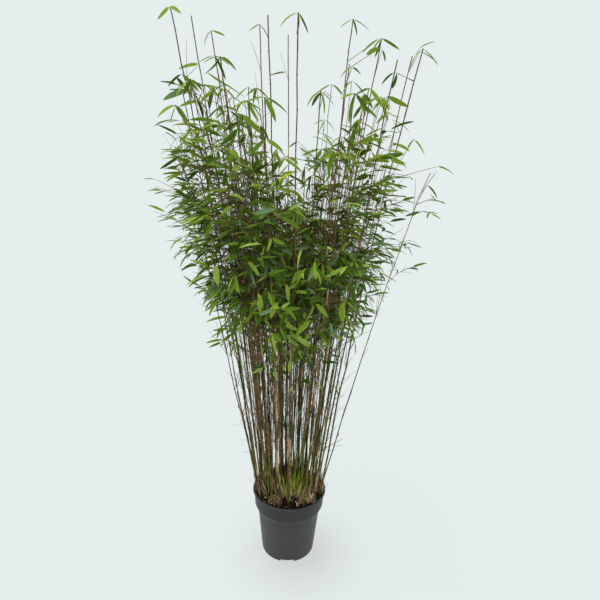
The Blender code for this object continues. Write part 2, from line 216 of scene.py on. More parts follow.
# Each kind of litter: its number, its colour and its darker one.
LITTER = (
    ("straw_litter", 210, (0.92, 0.64, 0.38), (0.34, 0.20, 0.09)),
    ("brown_litter", 120, (0.24, 0.135, 0.058), (0.06, 0.032, 0.014)),
)
PALE_SHOOTS = ((0.90, 0.80, 0.38), (1.0, 0.94, 0.32), (0.82, 0.84, 0.20))
YOUNG_SHOOTS = ((0.80, 0.84, 0.26), (0.62, 0.80, 0.08), (0.24, 0.38, 0.02))
SHADED_SHOOTS = ((0.20, 0.20, 0.035), (0.14, 0.19, 0.016), (0.09, 0.14, 0.010))
# Each kind of shoot: number, place beside the others, scatter, growth, and colours of foot, blade and tip.
SHOOTS = (
    ("pale_shoots", 56, (-0.014, -0.015), 0.018, 0.060, PALE_SHOOTS),
    ("young_shoots", 84, (0.004, -0.008), 0.022, 0.085, YOUNG_SHOOTS),
    ("shaded_shoots", 70, (0.004, 0.000), 0.026, 0.110, SHADED_SHOOTS),
)

# ---- the stage
# The lamp's tint and the way that its light falls, and the middle of the floor's painted shadow at the pot's
# foot.
LAMP_COLOUR = (1.0, 0.96, 0.86)
LAMP_WAY = (0.45, 0.15, -1.25)
LAMP_SPREAD = 50.0
PAINTED_SHADOW_PLACE = (0.040, -0.050, 0.0)
# Where the painted shadow begins to fade and where it ends, and its tint.
PAINTED_SHADOW_REACH = (0.07, 0.29)
PAINTED_SHADOW_TINT = (0.84, 0.80, 0.81)
FLOOR_HALF = 60.0

# ---- the crown
# Height, the crown's middle, and its reach at that height.
CROWN_OUTLINE = (
    (0.76, -0.03, 0.20),
    (0.82, -0.03, 0.26),
    (1.00, -0.03, 0.33),
    (1.20, -0.04, 0.41),
    (1.36, -0.06, 0.45),
    (1.46, -0.06, 0.43),
    (1.58, -0.05, 0.40),
    (1.80, -0.02, 0.40),
)
# The same for the sprays, which thin out towards this outline.
SPRAY_OUTLINE = (
    (0.80, -0.02, 0.23),
    (0.90, -0.02, 0.30),
    (1.01, -0.02, 0.39),
    (1.12, -0.02, 0.48),
    (1.22, -0.045, 0.51),
    (1.32, -0.06, 0.49),
    (1.42, -0.06, 0.43),
    (1.52, -0.055, 0.365),
    (1.65, -0.03, 0.35),
    (1.80, 0.01, 0.42),
)
# The foliage's top over the clump's middle and off to its sides: distance to the right, height.
FOLIAGE_TOPS = (
    (-0.42, 1.61),
    (-0.34, 1.66),
    (-0.26, 1.42),
    (-0.16, 1.41),
    (-0.10, 1.43),
    (-0.03, 1.37),
    (0.06, 1.33),
    (0.12, 1.39),
    (0.18, 1.44),
    (0.26, 1.42),
    (0.34, 1.40),
    (0.40, 1.39),
)
# The share of branches kept: over the foliage's foot, past its top, and by the share of the crown's reach.
FOOT_MIDDLE = 0.66
FOOT_RISE = 0.75
OVER_FOOT = ((0.0, 0.0), (0.08, 0.07), (0.18, 0.18), (0.30, 0.46), (0.44, 0.85))
OVER_TOP = ((-0.36, 1.0), (-0.22, 0.60), (-0.12, 0.31), (0.0, 0.17), (0.08, 0.11), (0.16, 0.06), (0.32, 0.0))
BY_REACH = ((0.0, 0.46), (0.5, 0.56), (0.72, 0.62), (0.82, 0.58), (0.92, 0.43), (1.0, 0.20), (1.1, 0.03))
# How much fuller the right side is.
FULLER_RIGHT = 0.3
OUTLYING_SHARE = 0.30
OUTLYING_REACH = 0.125
# The camera: its place, its turns to the side, up and round in degrees, and its lens and film in millimetres.
CAMERA_PLACE = (0.0, -1.55, 1.3407)
CAMERA_TURNS = (0.6825, -12.5665, 1.8155)
CAMERA_LENS = 27.0
CAMERA_SENSOR = 36.0
# The side of the square frame that the pixel places below are counted in, from its upper left corner.
FRAME_PIXELS = 600.0
# Leaves that stand out: the pixels of root and tip, the root's place on Y, and the shade, where 0 is dark
# and 1 is yellow-green.
ACCENT_LEAVES = (
    ((379, 39), (359, 50.5), 0.02, 0.70),
    ((380, 48), (362, 53.5), 0.02, 0.60),
    ((382, 49.5), (387, 61), 0.02, 0.40),
    ((419, 48.5), (435, 38.5), 0.06, 0.65),
    ((420, 51.5), (442.5, 60), 0.06, 0.60),
    ((394.5, 72.5), (380, 81.5), 0.00, 0.10),
    ((397, 73), (393, 89.5), 0.00, 0.15),
    ((351, 67), (337.5, 76.5), 0.04, 0.75),
    ((352, 67.5), (363, 74), 0.04, 0.50),
    ((321.5, 91.5), (310.5, 105.5), -0.04, 0.05),
    ((324.5, 91), (333.5, 98.5), -0.04, 0.15),
    ((392.5, 119.5), (413.5, 128), -0.04, 0.75),
    ((361, 133), (340, 119.5), -0.06, 0.75),
    ((437.5, 166.5), (457, 170.5), 0.00, 0.60),
    ((427, 185), (440, 197), 0.00, 0.30),
    ((298, 141.5), (289, 147), -0.05, 0.30),
    ((299, 147), (313, 157), -0.05, 0.50),
    ((295.5, 173), (264, 181), -0.24, 1.20),
    ((199.5, 64), (176.5, 67), -0.05, 0.80),
    ((219, 89), (194.5, 81), -0.02, 0.60),
    ((216, 91), (196, 100), -0.06, 0.75),
    ((231.5, 87), (205, 72.5), -0.04, 0.60),
    ((201, 125.5), (171, 122), -0.10, 0.85),
    ((178, 135), (157, 123.5), -0.10, 0.05),
    ((286, 72), (269.5, 74.5), 0.00, 0.30),
    ((272, 111), (270.5, 98), 0.00, 0.60),
    ((156, 179.5), (142, 177), -0.08, 0.20),
    ((262, 244), (237.5, 246), -0.33, 0.95),
    ((265.5, 245.5), (257, 263.5), -0.33, 0.60),
    ((302, 248.5), (295.5, 272), -0.35, 1.00),
    ((315, 260.5), (314.5, 281), -0.34, 0.90),
    ((216, 264), (217.5, 287), -0.26, 0.95),
    ((286.5, 284), (289.5, 303.5), -0.30, 0.90),
    ((314, 304), (307, 324), -0.28, 0.80),
    ((315, 303.5), (330.5, 317), -0.28, 0.75),
    ((278, 301.5), (267.5, 320), -0.27, 0.80),
    ((310, 321), (293.5, 337), -0.24, 0.75),
    ((330, 335), (346, 339.5), -0.20, 0.80),
    ((342, 302), (343, 325), -0.24, 0.75),
    ((290, 360), (289.5, 374), -0.20, 1.00),
    ((245.9, 412), (240.3, 422), -0.02, 0.60),
    ((318, 384), (323.5, 392), -0.16, 1.00),
    ((293.5, 386.5), (288.6, 392), -0.16, 0.95),
    ((334, 385), (341, 399), -0.06, 0.50),
    ((224, 325), (213.5, 336.5), -0.05, 0.50),
    ((232, 333), (221.5, 343), -0.05, 0.60),
)
# The leaves' greens from bluish and dark to yellowish, and how light a leaf is where the next one starts.
GREENS = (
    # Partly the leaves' own bluish tone and partly painted sheen from the sky, paler than the others.
    ("blue_green_sheen_leaves", (0.155, 0.265, 0.135)),
    ("dark_leaves", (0.040, 0.094, 0.006)),
    ("deep_leaves", (0.070, 0.148, 0.012)),
    ("mid_leaves", (0.122, 0.228, 0.022)),
    ("green_leaves", (0.180, 0.298, 0.034)),
    ("fresh_leaves", (0.235, 0.375, 0.044)),
    ("light_leaves", (0.315, 0.460, 0.066)),
    ("yellow_green_leaves", (0.560, 0.620, 0.030)),
)
# A leaf's lightness includes painted shade: leaves deep inside the crown are dealt the darker greens.
SHADES = (0.04, 0.22, 0.36, 0.50, 0.64, 0.80, 0.96)
DRY_TIP = (0.16, 0.09, 0.03)
DRY_TIPPED = ("deep_leaves", "fresh_leaves")
# How much nearer to the front the tip of such a leaf is than its root.
TIP_NEARER = 0.015
# The tips of the twigs' leaves stay inside these sides: lowest x and y, highest x and y.
LEAF_LIMITS = (-0.510, -0.424, 0.562, 0.450)
HIGHEST_LEAF = 1.955
# The size of a usual leaf, which the panel's sizes are set against.
LEAF_LENGTH = 0.058
LEAF_WIDTH = 0.0094
LOWEST_BRANCH = FOOT_MIDDLE - 0.1
HIGHEST_BRANCH = 1.86
BRANCH_LENGTH = 0.125
BRANCH_RADIUS = 0.0012
MOST_TWIGS = 6
TWIG_SPACING = 0.028
TWIG_LENGTH = 0.050
TWIG_RADIUS = 0.0007
MOST_LEAVES = 3
# Of the twigs, up to the first share have one leaf, up to the second two, and the rest three. How far back
# along the twig each one starts, and its side.
LEAF_COUNTS = (0.18, 0.62)
LEAF_STARTS = (0.0, 0.16, 0.62)
LEAF_SIDES = (0.35, 1.0, -1.0)
# Leaves hang the more, the further they are under this height, and fully at so much under it.
HANG_UNDER = 1.42
HANG_FULLY = 0.45
# The share of leaves that stray past the crown's outline, how far these may, and how far the others may.
STRAY_LEAVES = 0.06
STRAY_REACH = 0.045
USUAL_REACH = 0.012
# The share of bare tips on the highest canes and on the others, and the height that parts them.
BARE_HIGH_TIPS = 0.5
BARE_TIPS = 0.15
HIGH_TIP = 1.91
# How much broader the leaves at the tips and those that stand out are.
TIP_BROAD = 1.25
ACCENT_BROAD = 1.5
OUTWARD_PULL = 1.6
TRIES = 8
PLANT_SEED = 20
UV_NAME = "OFBake"


# ---- arrays


def unit(vectors):
    """The vectors at length one."""
    return vectors / np.maximum(np.linalg.norm(vectors, axis=-1, keepdims=True), 1e-9)


def ramp(value, width, top=1.0):
    """value / width, held between nought and the top."""
    return np.clip(value / width, 0.0, top)


def stacked(*parts):
    """The parts as the last axis of one array."""
    return np.stack(parts, axis=-1)


def level(turn):
    """The level direction at each turn: (cos, sin, 0)."""
    return stacked(np.cos(turn), np.sin(turn), np.zeros_like(turn))


def scattered(dice, radius, count, least=0.0):
    """Places spread evenly over a disc, with each place's distance from the middle and its bearing."""
    spread = radius * np.sqrt(dice.uniform(least, 1, count))
    turn = dice.uniform(0, math.tau, count)
    return spread * np.cos(turn), spread * np.sin(turn), spread, turn


def steps_of(table, values):
    """The table's second column at the values of its first, in straight steps."""
    return np.interp(values, *zip(*table))


def carried_frames(spots):
    """Two directions across each line of spots (n, k, 3): across = along x reference, up = across x along."""
    along = unit(np.gradient(spots, axis=1))
    mean = unit(along.mean(axis=1, keepdims=True))
    steep = np.abs(mean[..., 2:]) > 0.9
    reference = np.where(steep, (1.0, 0.0, 0.0), (0.0, 0.0, 1.0))
    across = unit(np.cross(along, reference))
    return across, np.cross(across, along)


def tubes(spots, radii, sides, lanes=None):
    """Closed tubes along many lines: ring point = spot + radius (cos t across + sin t up), t over the sides.

    spots is (n, k, 3) and radii is (n, k). Returns points, faces and their map, where u goes round the tube
    inside its lane, a quarter of the map, and v goes along it.
    """
    count, rings = radii.shape
    across, up = carried_frames(spots)
    turn = np.arange(sides) * (math.tau / sides)
    ring = across[:, :, None] * np.cos(turn)[:, None] + up[:, :, None] * np.sin(turn)[:, None]
    points = spots[:, :, None] + radii[:, :, None, None] * ring
    index = np.arange(count * rings * sides).reshape(count, rings, sides)
    after = np.roll(index, -1, axis=2)
    walls = stacked(index[:, :-1], index[:, 1:], after[:, 1:], after[:, :-1])
    caps = np.concatenate([index[:, 0], index[:, -1, ::-1]])
    lane = np.zeros(count) if lanes is None else lanes / LANES
    width = 1.0 if lanes is None else 1.0 / LANES
    lengths = np.linalg.norm(np.diff(spots, axis=1), axis=2)
    reach = np.concatenate([np.zeros((count, 1)), np.cumsum(lengths, axis=1)], axis=1)
    v = reach / reach[:, -1:]
    u = lane[:, None] + width * np.arange(sides + 1) / sides
    map_u = stacked(u[:, :-1], u[:, :-1], u[:, 1:], u[:, 1:])[:, None].repeat(rings - 1, axis=1)
    map_v = stacked(v[:, :-1], v[:, 1:], v[:, 1:], v[:, :-1])[:, :, None].repeat(sides, axis=2)
    wall_map = stacked(map_u, map_v).reshape(-1, 4, 2)
    cap_u = np.concatenate([u[:, :-1], u[:, -2::-1]])
    cap_v = np.concatenate([np.full((count, sides), 0.001), np.full((count, sides), 0.999)])
    return points.reshape(-1, 3), [walls.reshape(-1, 4), caps], [wall_map, stacked(cap_u, cap_v)]


def new_piece(name, parts, material, replaced=()):
    """A piece from (points, faces, maps) parts, joined in one mesh at the origin, riding on the plant."""
    starts = np.cumsum([0] + [len(points) for points, _, _ in parts])
    points = np.concatenate([points for points, _, _ in parts])
    faces = [block + start for (_, blocks, _), start in zip(parts, starts) for block in blocks]
    maps = [block for _, _, blocks in parts for block in blocks]
    corners = np.concatenate([block.ravel() for block in faces])
    sizes = np.concatenate([np.full(len(block), block.shape[1]) for block in faces])
    mesh = bpy.data.meshes.new(name)
    mesh.vertices.add(len(points))
    mesh.vertices.foreach_set("co", points.astype(np.float32).ravel())
    mesh.loops.add(len(corners))
    mesh.loops.foreach_set("vertex_index", corners.astype(np.int32))
    mesh.polygons.add(len(sizes))
    mesh.polygons.foreach_set("loop_start", (np.cumsum(sizes) - sizes).astype(np.int32))
    mesh.polygons.foreach_set("use_smooth", np.ones(len(sizes), bool))
    layer = mesh.uv_layers.new(name=UV_NAME)
    places = np.concatenate([block.reshape(-1, 2) for block in maps])
    layer.data.foreach_set("uv", places.astype(np.float32).ravel())
    mesh.update(calc_edges=True)
    mesh.materials.append(material)
    piece = bpy.data.objects.new(name, mesh)
    bpy.context.scene.collection.objects.link(piece)
    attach(piece, "root")
    if replaced:
        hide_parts(*replaced)
    return piece


# ---- materials


class Nodes:
    """A material's node tree, with short calls for the nodes that these finishes use."""

    def __init__(self, name, roughness, specular=0.5):
        self.material = bpy.data.materials.new(name)
        self.material.use_nodes = True
        self.tree = self.material.node_tree
        self.shader = self.tree.nodes["Principled BSDF"]
        self.shader.inputs["Roughness"].default_value = roughness
        self.shader.inputs["Specular IOR Level"].default_value = specular

    def add(self, kind, inputs=None, **settings):
        """A node of this kind, its inputs linked to sockets or set to values."""
        node = self.tree.nodes.new(kind)
        for name, value in settings.items():
            setattr(node, name, value)
        for socket, value in (inputs or {}).items():
            if isinstance(value, bpy.types.NodeSocket):
                self.tree.links.new(value, node.inputs[socket])
            else:
                node.inputs[socket].default_value = value
        return node

    def own_map(self):
        """The piece's own map, where u goes across or round a part of it and v goes along."""
        return self.add("ShaderNodeUVMap", uv_map=UV_NAME).outputs["UV"]

    def object_place(self):
        return self.add("ShaderNodeTexCoord").outputs["Object"]

    def part(self, vector, axis):
        return self.add("ShaderNodeSeparateXYZ", {0: vector}).outputs[axis]

    def noise(self, vector, scale, detail=3.0, roughness=0.55):
        inputs = {"Vector": vector, "Scale": scale, "Detail": detail, "Roughness": roughness}
        return self.add("ShaderNodeTexNoise", inputs).outputs["Fac"]

    def streaks(self, vector, scales, detail=3.0, roughness=0.55):
        """Noise with a scale of its own on each axis."""
        place = self.add("ShaderNodeMapping", {"Vector": vector, "Scale": scales}).outputs["Vector"]
        return self.noise(place, 1.0, detail, roughness)

    def maths(self, operation, first, second=0.0):
        return self.add("ShaderNodeMath", {0: first, 1: second}, operation=operation).outputs[0]

    def band(self, value, low, high, start=0.0, end=1.0):
        """The value carried from low..high to start..end, and held at both."""
        inputs = {0: value, 1: low, 2: high, 3: start, 4: end}
        return self.add("ShaderNodeMapRange", inputs).outputs[0]

    def mix(self, share, first, second):
        """The first colour, and the second by its share."""
        inputs = {0: share, 6: first, 7: second}
        for socket in (6, 7):
            if isinstance(inputs[socket], tuple):
                inputs[socket] = (*inputs[socket], 1.0)
        return self.add("ShaderNodeMix", inputs, data_type="RGBA").outputs[2]

    def lay(self, share, colour):
        """Lays a colour over what the base has so far, by its share."""
        self.base = self.mix(share, self.base, colour)

    def near(self, value, line):
        """How far a value is from a line."""
        return self.maths("ABSOLUTE", self.maths("SUBTRACT", value, line))

    def finished(self, relief, strength, distance):
        """The material, with its base colour and its relief on the shader."""
        bump = self.add("ShaderNodeBump", {"Height": relief, "Strength": strength, "Distance": distance})
        self.tree.links.new(bump.outputs["Normal"], self.shader.inputs["Normal"])
        self.tree.links.new(self.base, self.shader.inputs["Base Color"])
        return self.material


def scaled(colour, share):
    """The colour times the share, never over one."""
    return tuple(min(1.0, part * share) for part in colour)


def tinted(colour, shares):
    """Each part of the colour times its own share."""
    return tuple(part * share for part, share in zip(colour, shares))


def leaf_material(name, colour, tip=None):
    """A bamboo blade: paler midrib and edges, fine veins, a yellower root, and light coming through it."""
    nodes = Nodes(name, 0.42, 0.45 if colour[2] > 0.06 else 0.12)
    place = nodes.own_map()
    u, v = nodes.part(place, "X"), nodes.part(place, "Y")
    across = nodes.near(u, 0.5)
    veins = nodes.maths("SINE", nodes.maths("MULTIPLY", u, 88.0))
    nodes.base = nodes.mix(nodes.band(veins, -1.0, 1.0), scaled(colour, 0.78), scaled(colour, 0.98))
    nodes.lay(nodes.band(across, 0.30, 0.42, 0.0, 0.8), tinted(colour, (1.6, 1.45, 1.3)))
    nodes.lay(nodes.band(v, 0.02, 0.30, 0.55, 0.0), tinted(colour, (1.5, 1.15, 0.9)))
    rib = (colour[0] * 1.7 + 0.02, colour[1] * 1.4 + 0.02, colour[2] * 1.5)
    nodes.lay(nodes.band(across, 0.016, 0.05, 0.7, 0.0), rib)
    if tip:
        nodes.lay(nodes.band(v, 0.84, 0.93), tip)
    through = nodes.add("ShaderNodeBsdfTranslucent")
    glow = (colour[0] * 1.7 + 0.02, colour[1] * 1.5 + 0.02, colour[2] * 0.6)
    nodes.tree.links.new(nodes.mix(0.6, nodes.base, glow), through.inputs["Color"])
    both = nodes.add("ShaderNodeMixShader", {0: 0.28, 1: nodes.shader.outputs[0], 2: through.outputs[0]})
    nodes.tree.links.new(both.outputs[0], nodes.tree.nodes["Material Output"].inputs["Surface"])
    groove = nodes.band(across, 0.0, 0.06, -1.0, 0.0)
    return nodes.finished(nodes.maths("ADD", nodes.maths("MULTIPLY", veins, 0.25), groove), 0.35, 0.0006)


def culm_material(name, colour, streak, bloom):
    """A cane's internode: long streaks, waxy bloom under the joint above, and a dark ring at each joint."""
    nodes = Nodes(name, 0.46, 0.10)
    place = nodes.own_map()
    v = nodes.part(place, "Y")
    grain = nodes.streaks(place, (40.0, 9.0, 1.0), 4.0)
    blotch = nodes.streaks(place, (1.6, 6.0, 1.0), 4.0, 0.6)
    nodes.base = nodes.mix(nodes.band(grain, 0.38, 0.62), scaled(colour, 0.55), scaled(colour, 1.40))
    nodes.lay(nodes.band(blotch, 0.46, 0.54, 0.0, 0.9), streak)
    nodes.lay(nodes.band(v, 0.80, 0.95, 0.0, 0.45), bloom)
    ring = nodes.maths("MAXIMUM", nodes.band(v, 0.955, 0.975), nodes.band(v, 0.012, 0.03, 1.0, 0.0))
    nodes.lay(nodes.maths("MULTIPLY", ring, 0.7), scaled(streak, 0.45))
    nodes.tree.links.new(nodes.band(blotch, 0.3, 0.7, 0.34, 0.55), nodes.shader.inputs["Roughness"])
    return nodes.finished(grain, 0.2, 0.0004)


def sheath_material(name, colour, dark):
    """A papery culm sheath: fine fibres along it, brown flecks, and a weathered upper edge."""
    nodes = Nodes(name, 0.62, 0.2)
    place = nodes.own_map()
    fibres = nodes.streaks(place, (120.0, 3.0, 1.0))
    flecks = nodes.streaks(place, (2.4, 5.0, 1.0), 4.0, 0.6)
    nodes.base = nodes.mix(nodes.band(fibres, 0.3, 0.7), scaled(colour, 0.70), scaled(colour, 1.25))
    nodes.lay(nodes.band(flecks, 0.50, 0.66, 0.0, 0.85), dark)
    nodes.lay(nodes.band(nodes.part(place, "Y"), 0.82, 1.0, 0.0, 0.55), dark)
    return nodes.finished(fibres, 0.5, 0.0005)


def twig_material(name, colour, other):
    """Bark in two browns, mottled along the twig."""
    nodes = Nodes(name, 0.5, 0.12)
    grain = nodes.streaks(nodes.own_map(), (8.0, 4.0, 1.0))
    nodes.base = nodes.mix(nodes.band(grain, 0.35, 0.65), colour, other)
    return nodes.finished(grain, 0.3, 0.0003)


def shoot_material(name, low, high, end):
    """A young shoot: straw-yellow at the foot, green towards the tip, with fine lines along it."""
    nodes = Nodes(name, 0.45, 0.25)
    place = nodes.own_map()
    v = nodes.part(place, "Y")
    lines = nodes.streaks(place, (70.0, 2.0, 1.0))
    nodes.base = nodes.mix(nodes.band(v, 0.25, 0.70), low, high)
    nodes.lay(nodes.band(v, 0.60, 1.0), end)
    nodes.lay(nodes.band(lines, 0.45, 0.65, 0.0, 0.4), scaled(end, 0.6))
    return nodes.finished(lines, 0.3, 0.0004)


def pot_material(name, colour):
    """Recycled dark plastic: soft mottling, faint warm and cool tints, fine grain and dusty scuffs."""
    nodes = Nodes(name, 0.5, 0.45)
    place = nodes.object_place()
    height = nodes.part(place, "Z")
    mottle = nodes.noise(place, 26.0, 5.0, 0.6)
    tint = nodes.noise(place, 9.0, 2.0)
    drag = nodes.streaks(place, (60.0, 60.0, 9.0), 4.0)
    grain = nodes.noise(place, 900.0, 2.0)
    scuff = nodes.streaks(place, (70.0, 70.0, 260.0), 5.0, 0.7)
    nodes.base = nodes.mix(nodes.band(mottle, 0.3, 0.7), scaled(colour, 0.86), scaled(colour, 1.14))
    cool, warm = tinted(colour, (1.02, 1.0, 1.14)), tinted(colour, (1.12, 1.0, 0.94))
    nodes.lay(nodes.band(tint, 0.35, 0.65, 0.0, 0.7), nodes.mix(nodes.band(tint, 0.45, 0.55), cool, warm))
    nodes.lay(nodes.band(drag, 0.55, 0.75, 0.0, 0.25), scaled(colour, 1.35))
    dust = nodes.maths("MULTIPLY", nodes.band(scuff, 0.58, 0.74), nodes.band(height, 0.0, 0.03, 0.55, 0.12))
    nodes.lay(dust, (0.19, 0.17, 0.14))
    # Painted shade: above the shoulder's foot the plastic is darkened, and above the collar's foot more.
    for line, under, over, depth in ((SHOULDER_FOOT, 0.012, 0.003, 0.66), (COLLAR_FOOT, 0.008, 0.006, 0.80)):
        nodes.lay(nodes.band(height, line - under, line + over, 0.0, depth), scaled(colour, 0.45))
    # Painted shade: two thin dark lines at the shoulder's foot that stand for grooves.
    for line in (SHOULDER_FOOT + 0.001, SHOULDER_FOOT - 0.011):
        nodes.lay(nodes.band(nodes.near(height, line), 0.0006, 0.0018, 0.45, 0.0), scaled(colour, 0.35))
    # Painted highlight: a lighter band along the top of the rim.
    nodes.lay(nodes.band(height, POT_HEIGHT - 0.004, POT_HEIGHT, 0.0, 0.3), scaled(colour, 2.1))
    nodes.tree.links.new(nodes.band(mottle, 0.25, 0.75, 0.42, 0.60), nodes.shader.inputs["Roughness"])
    return nodes.finished(nodes.maths("ADD", grain, nodes.maths("MULTIPLY", mottle, 3.0)), 0.12, 0.0008)


def soil_material(name, colour):
    """Peat: near black, with brown fibre and a few pale grains."""
    nodes = Nodes(name, 0.95, 0.2)
    place = nodes.object_place()
    lumps = nodes.noise(place, 150.0, 6.0, 0.7)
    fibre = nodes.noise(place, 420.0, 3.0)
    nodes.base = nodes.mix(nodes.band(lumps, 0.35, 0.68), scaled(colour, 0.35), scaled(colour, 1.7))
    nodes.lay(nodes.band(fibre, 0.60, 0.72, 0.0, 0.6), (0.13, 0.085, 0.05))
    return nodes.finished(nodes.maths("ADD", lumps, nodes.maths("MULTIPLY", fibre, 0.5)), 0.9, 0.004)


# ---- the canes' places, by the source's rule


class Cane:
    """A cane's line from its foot in the soil, bowing out to its place at the reference height."""

    def __init__(self, place, split, top, kind="leafy", share=1.0, foot=None):
        self.place = Vector((place[0], place[1], 0.0))
        self.foot = self.place * min(FOOT_SHARE, FOOT_RADIUS / self.place.length)
        if foot is not None:
            self.foot = Vector((foot[0], foot[1], 0.0))
        self.split = split
        self.top = top
        self.kind = kind
        self.share = share

    def at(self, height):
        """The spot at a height: foot + (place - foot)((1 - b) s + b s s), s being the height's share."""
        part = (height - GROUND) / (REFERENCE_HEIGHT - GROUND)
        spot = self.foot.lerp(self.place, (1.0 - BOW) * part + BOW * part * part)
        spot.z = height
        return spot

    def distance(self, spot):
        return (self.at(spot.z) - spot).length


def clear_of(cane, others, clearance):
    """True if the cane keeps its clearance from all the others, from the soil to the reference height."""
    for step in range(13):
        spot = cane.at(GROUND + (REFERENCE_HEIGHT - GROUND) * step / 12.0)
        if any(other.distance(spot) < clearance for other in others):
            return False
    return True


def foliage_end(cane):
    """The foliage's top on a cane: from the middle's height up to the sides', and lower towards the front."""
    rise = min(1.0, abs(cane.place.x) / TOP_RISE_WIDTH)
    return TOP_MIDDLE + (TOP_SIDES - TOP_MIDDLE) * rise + FRONT_DROP * min(0.0, cane.place.y)


def golden_place(index, count, dice, wild):
    """The place of one of so many candidates: evenly over the clump, each a golden angle on from the last."""
    reach = SPREAD_RADIUS * math.sqrt((index + 0.5) / count)
    bearing = index * GOLDEN_ANGLE + dice.uniform(-wild, wild)
    return reach * math.cos(bearing), reach * math.sin(bearing)


def leafy_canes(others):
    """The solids' leafy canes, with the same draws."""
    dice = random.Random(SOURCE_SEED)
    found = []
    for index in range(LEAFY_CANDIDATES):
        x, y = golden_place(index, LEAFY_CANDIDATES, dice, 0.15)
        cane = Cane((CROWN_SHIFT + x, y), REFERENCE_HEIGHT, REFERENCE_HEIGHT)
        if clear_of(cane, others + found, CANE_CLEARANCE):
            found.append(cane)
    step = len(found) / LEAFY_CANES
    chosen = [found[int(step * (n + 0.5))] for n in range(LEAFY_CANES)]
    for number, cane in enumerate(chosen):
        start, end = INNER_FOLIAGE[number % 2]
        if number >= INNER_CANES:
            start, end = OUTER_START, foliage_end(cane)
        cane.split = start + dice.uniform(-0.03, 0.03)
        cane.top = end + dice.uniform(-0.04, 0.04)
    return chosen


def slender_canes(others):
    """The thinner canes between the others, set by the golden angle too, and leafy from low down."""
    dice = random.Random(PLANT_SEED)
    found = []
    for index in range(SLENDER_CANDIDATES):
        x, y = golden_place(index, SLENDER_CANDIDATES, dice, 0.3)
        place = Vector((x * SLENDER_WIDTH, y))
        scatter = Vector((dice.gauss(0.0, FOOT_SCATTER[0]), dice.gauss(0.010, FOOT_SCATTER[1])))
        foot = place * SLENDER_FOOT_SHARE + scatter
        foot *= min(1.0, FURTHEST_FOOT / foot.length)
        foot.y = max(foot.y, FRONT_FOOT)
        if abs(foot.x - SHOOTS_PLACE[0]) < SHOOTS_WIDTH and foot.y < SHOOTS_PLACE[1] + 0.014:
            continue
        low_down = foot.x + 0.14 * (place.x - foot.x)
        if abs(low_down - PARTING) < PARTING_WIDTH and dice.random() < PARTING_SHARE:
            continue
        share = SLENDER_SHARE * dice.uniform(*SLENDER_RANGE)
        cane = Cane(place, OUTER_START, REFERENCE_HEIGHT, "slender", share, foot)
        if clear_of(cane, others + found, SLENDER_CLEARANCE):
            found.append(cane)
    dice.shuffle(found)
    for cane in found[:SLENDER_CANES]:
        cane.split = OUTER_START + dice.uniform(-0.15, 0.12)
        cane.top = foliage_end(cane) + dice.uniform(-0.16, 0.04)
        if dice.random() < HIGH_TOPS and abs(cane.place.x) > 0.08:
            cane.top = dice.uniform(1.52, 1.74)
        if cane.foot.x > RIGHT_FEET:
            cane.foot.y = max(cane.foot.y, 0.4 * cane.foot.y - 0.006)
    return found[:SLENDER_CANES]


# ---- the plant's growth


def line_at(made, which, heights):
    """The middle of the canes at the heights: foot + (place - foot)((1 - b) s + b s s) + sway + bend.

    The sway is a slow sine wave of the height each way. The bend grows with the square of the height over its
    start.
    """
    part = (heights - GROUND) / (REFERENCE_HEIGHT - GROUND)
    out = (1.0 - BOW) * part + BOW * part * part
    spots = made.foot[which] + (made.place - made.foot)[which] * out[..., None]
    lift = ramp(heights - GROUND, 0.4)
    phase = made.phase[which]
    spots[..., 0] += lift * made.sway[which] * np.sin(heights * 5.1 + phase)
    spots[..., 1] += lift * made.sway[which] * np.sin(heights * 4.3 + 2.0 * phase)
    over = ramp(heights - BEND_START, made.top[which] - BEND_START, 1.2)
    spots[..., :2] += made.bend[which] * (over * over)[..., None]
    spots[..., 2] = heights
    return spots


def cane_radius(made, which, heights):
    """A taper from foot to tip, held at the slimmest, times a flare at the foot and the cane's own share."""
    part = (heights - GROUND) / (made.top[which] - GROUND)
    flare = np.maximum(0.0, 1.0 - (heights - GROUND) / FLARE_HEIGHT)
    plain = np.maximum(CANE_RADIUS + (CANE_TIP_RADIUS - CANE_RADIUS) * np.clip(part, 0.0, 1.0), SLIMMEST)
    return plain * (1.0 + FLARE * flare) * made.share[which] * CANE_SHARE


def joint_heights(top, dice):
    """The heights of a cane's joints: close at the foot, widest half way up, and close again at the top."""
    found = [GROUND - 0.012, GROUND + dice.uniform(0.012, 0.03)]
    while found[-1] < top - 0.03:
        part = (found[-1] - GROUND) / (top - GROUND)
        swing = math.sin(math.pi * min(1.0, 0.08 + 0.9 * part)) ** 0.8
        length = SHORTEST_INTERNODE + INTERNODE_GROWTH * swing
        found.append(found[-1] + length * dice.uniform(0.8, 1.2))
    found[-1] = top
    return found


def reach_share(spots, margin=0.0, outline=CROWN_OUTLINE):
    """Distance from the crown's middle as a share of its reach at that height: one on its outline."""
    heights, middles, reaches = zip(*outline)
    middle = np.interp(spots[..., 2], heights, middles)
    reach = np.interp(spots[..., 2], heights, reaches)
    return np.hypot(spots[..., 0] - middle, spots[..., 1]) / (reach + margin)


def foliage_chance(spots):
    """How likely a spray is at a spot: by its height over the foliage's foot and top, and by its reach."""
    x, y, z = np.moveaxis(spots, -1, 0)
    low = steps_of(OVER_FOOT, z - (FOOT_MIDDLE + FOOT_RISE * np.hypot(x, 0.6 * y)))
    high = steps_of(OVER_TOP, z - steps_of(FOLIAGE_TOPS, x))
    low = low * (1.0 + FULLER_RIGHT * np.clip(x / 0.1 - 1.0, 0.0, 1.0) * ramp(1.45 - z, 0.1))
    return low * high * steps_of(BY_REACH, reach_share(spots, 0.0, SPRAY_OUTLINE))


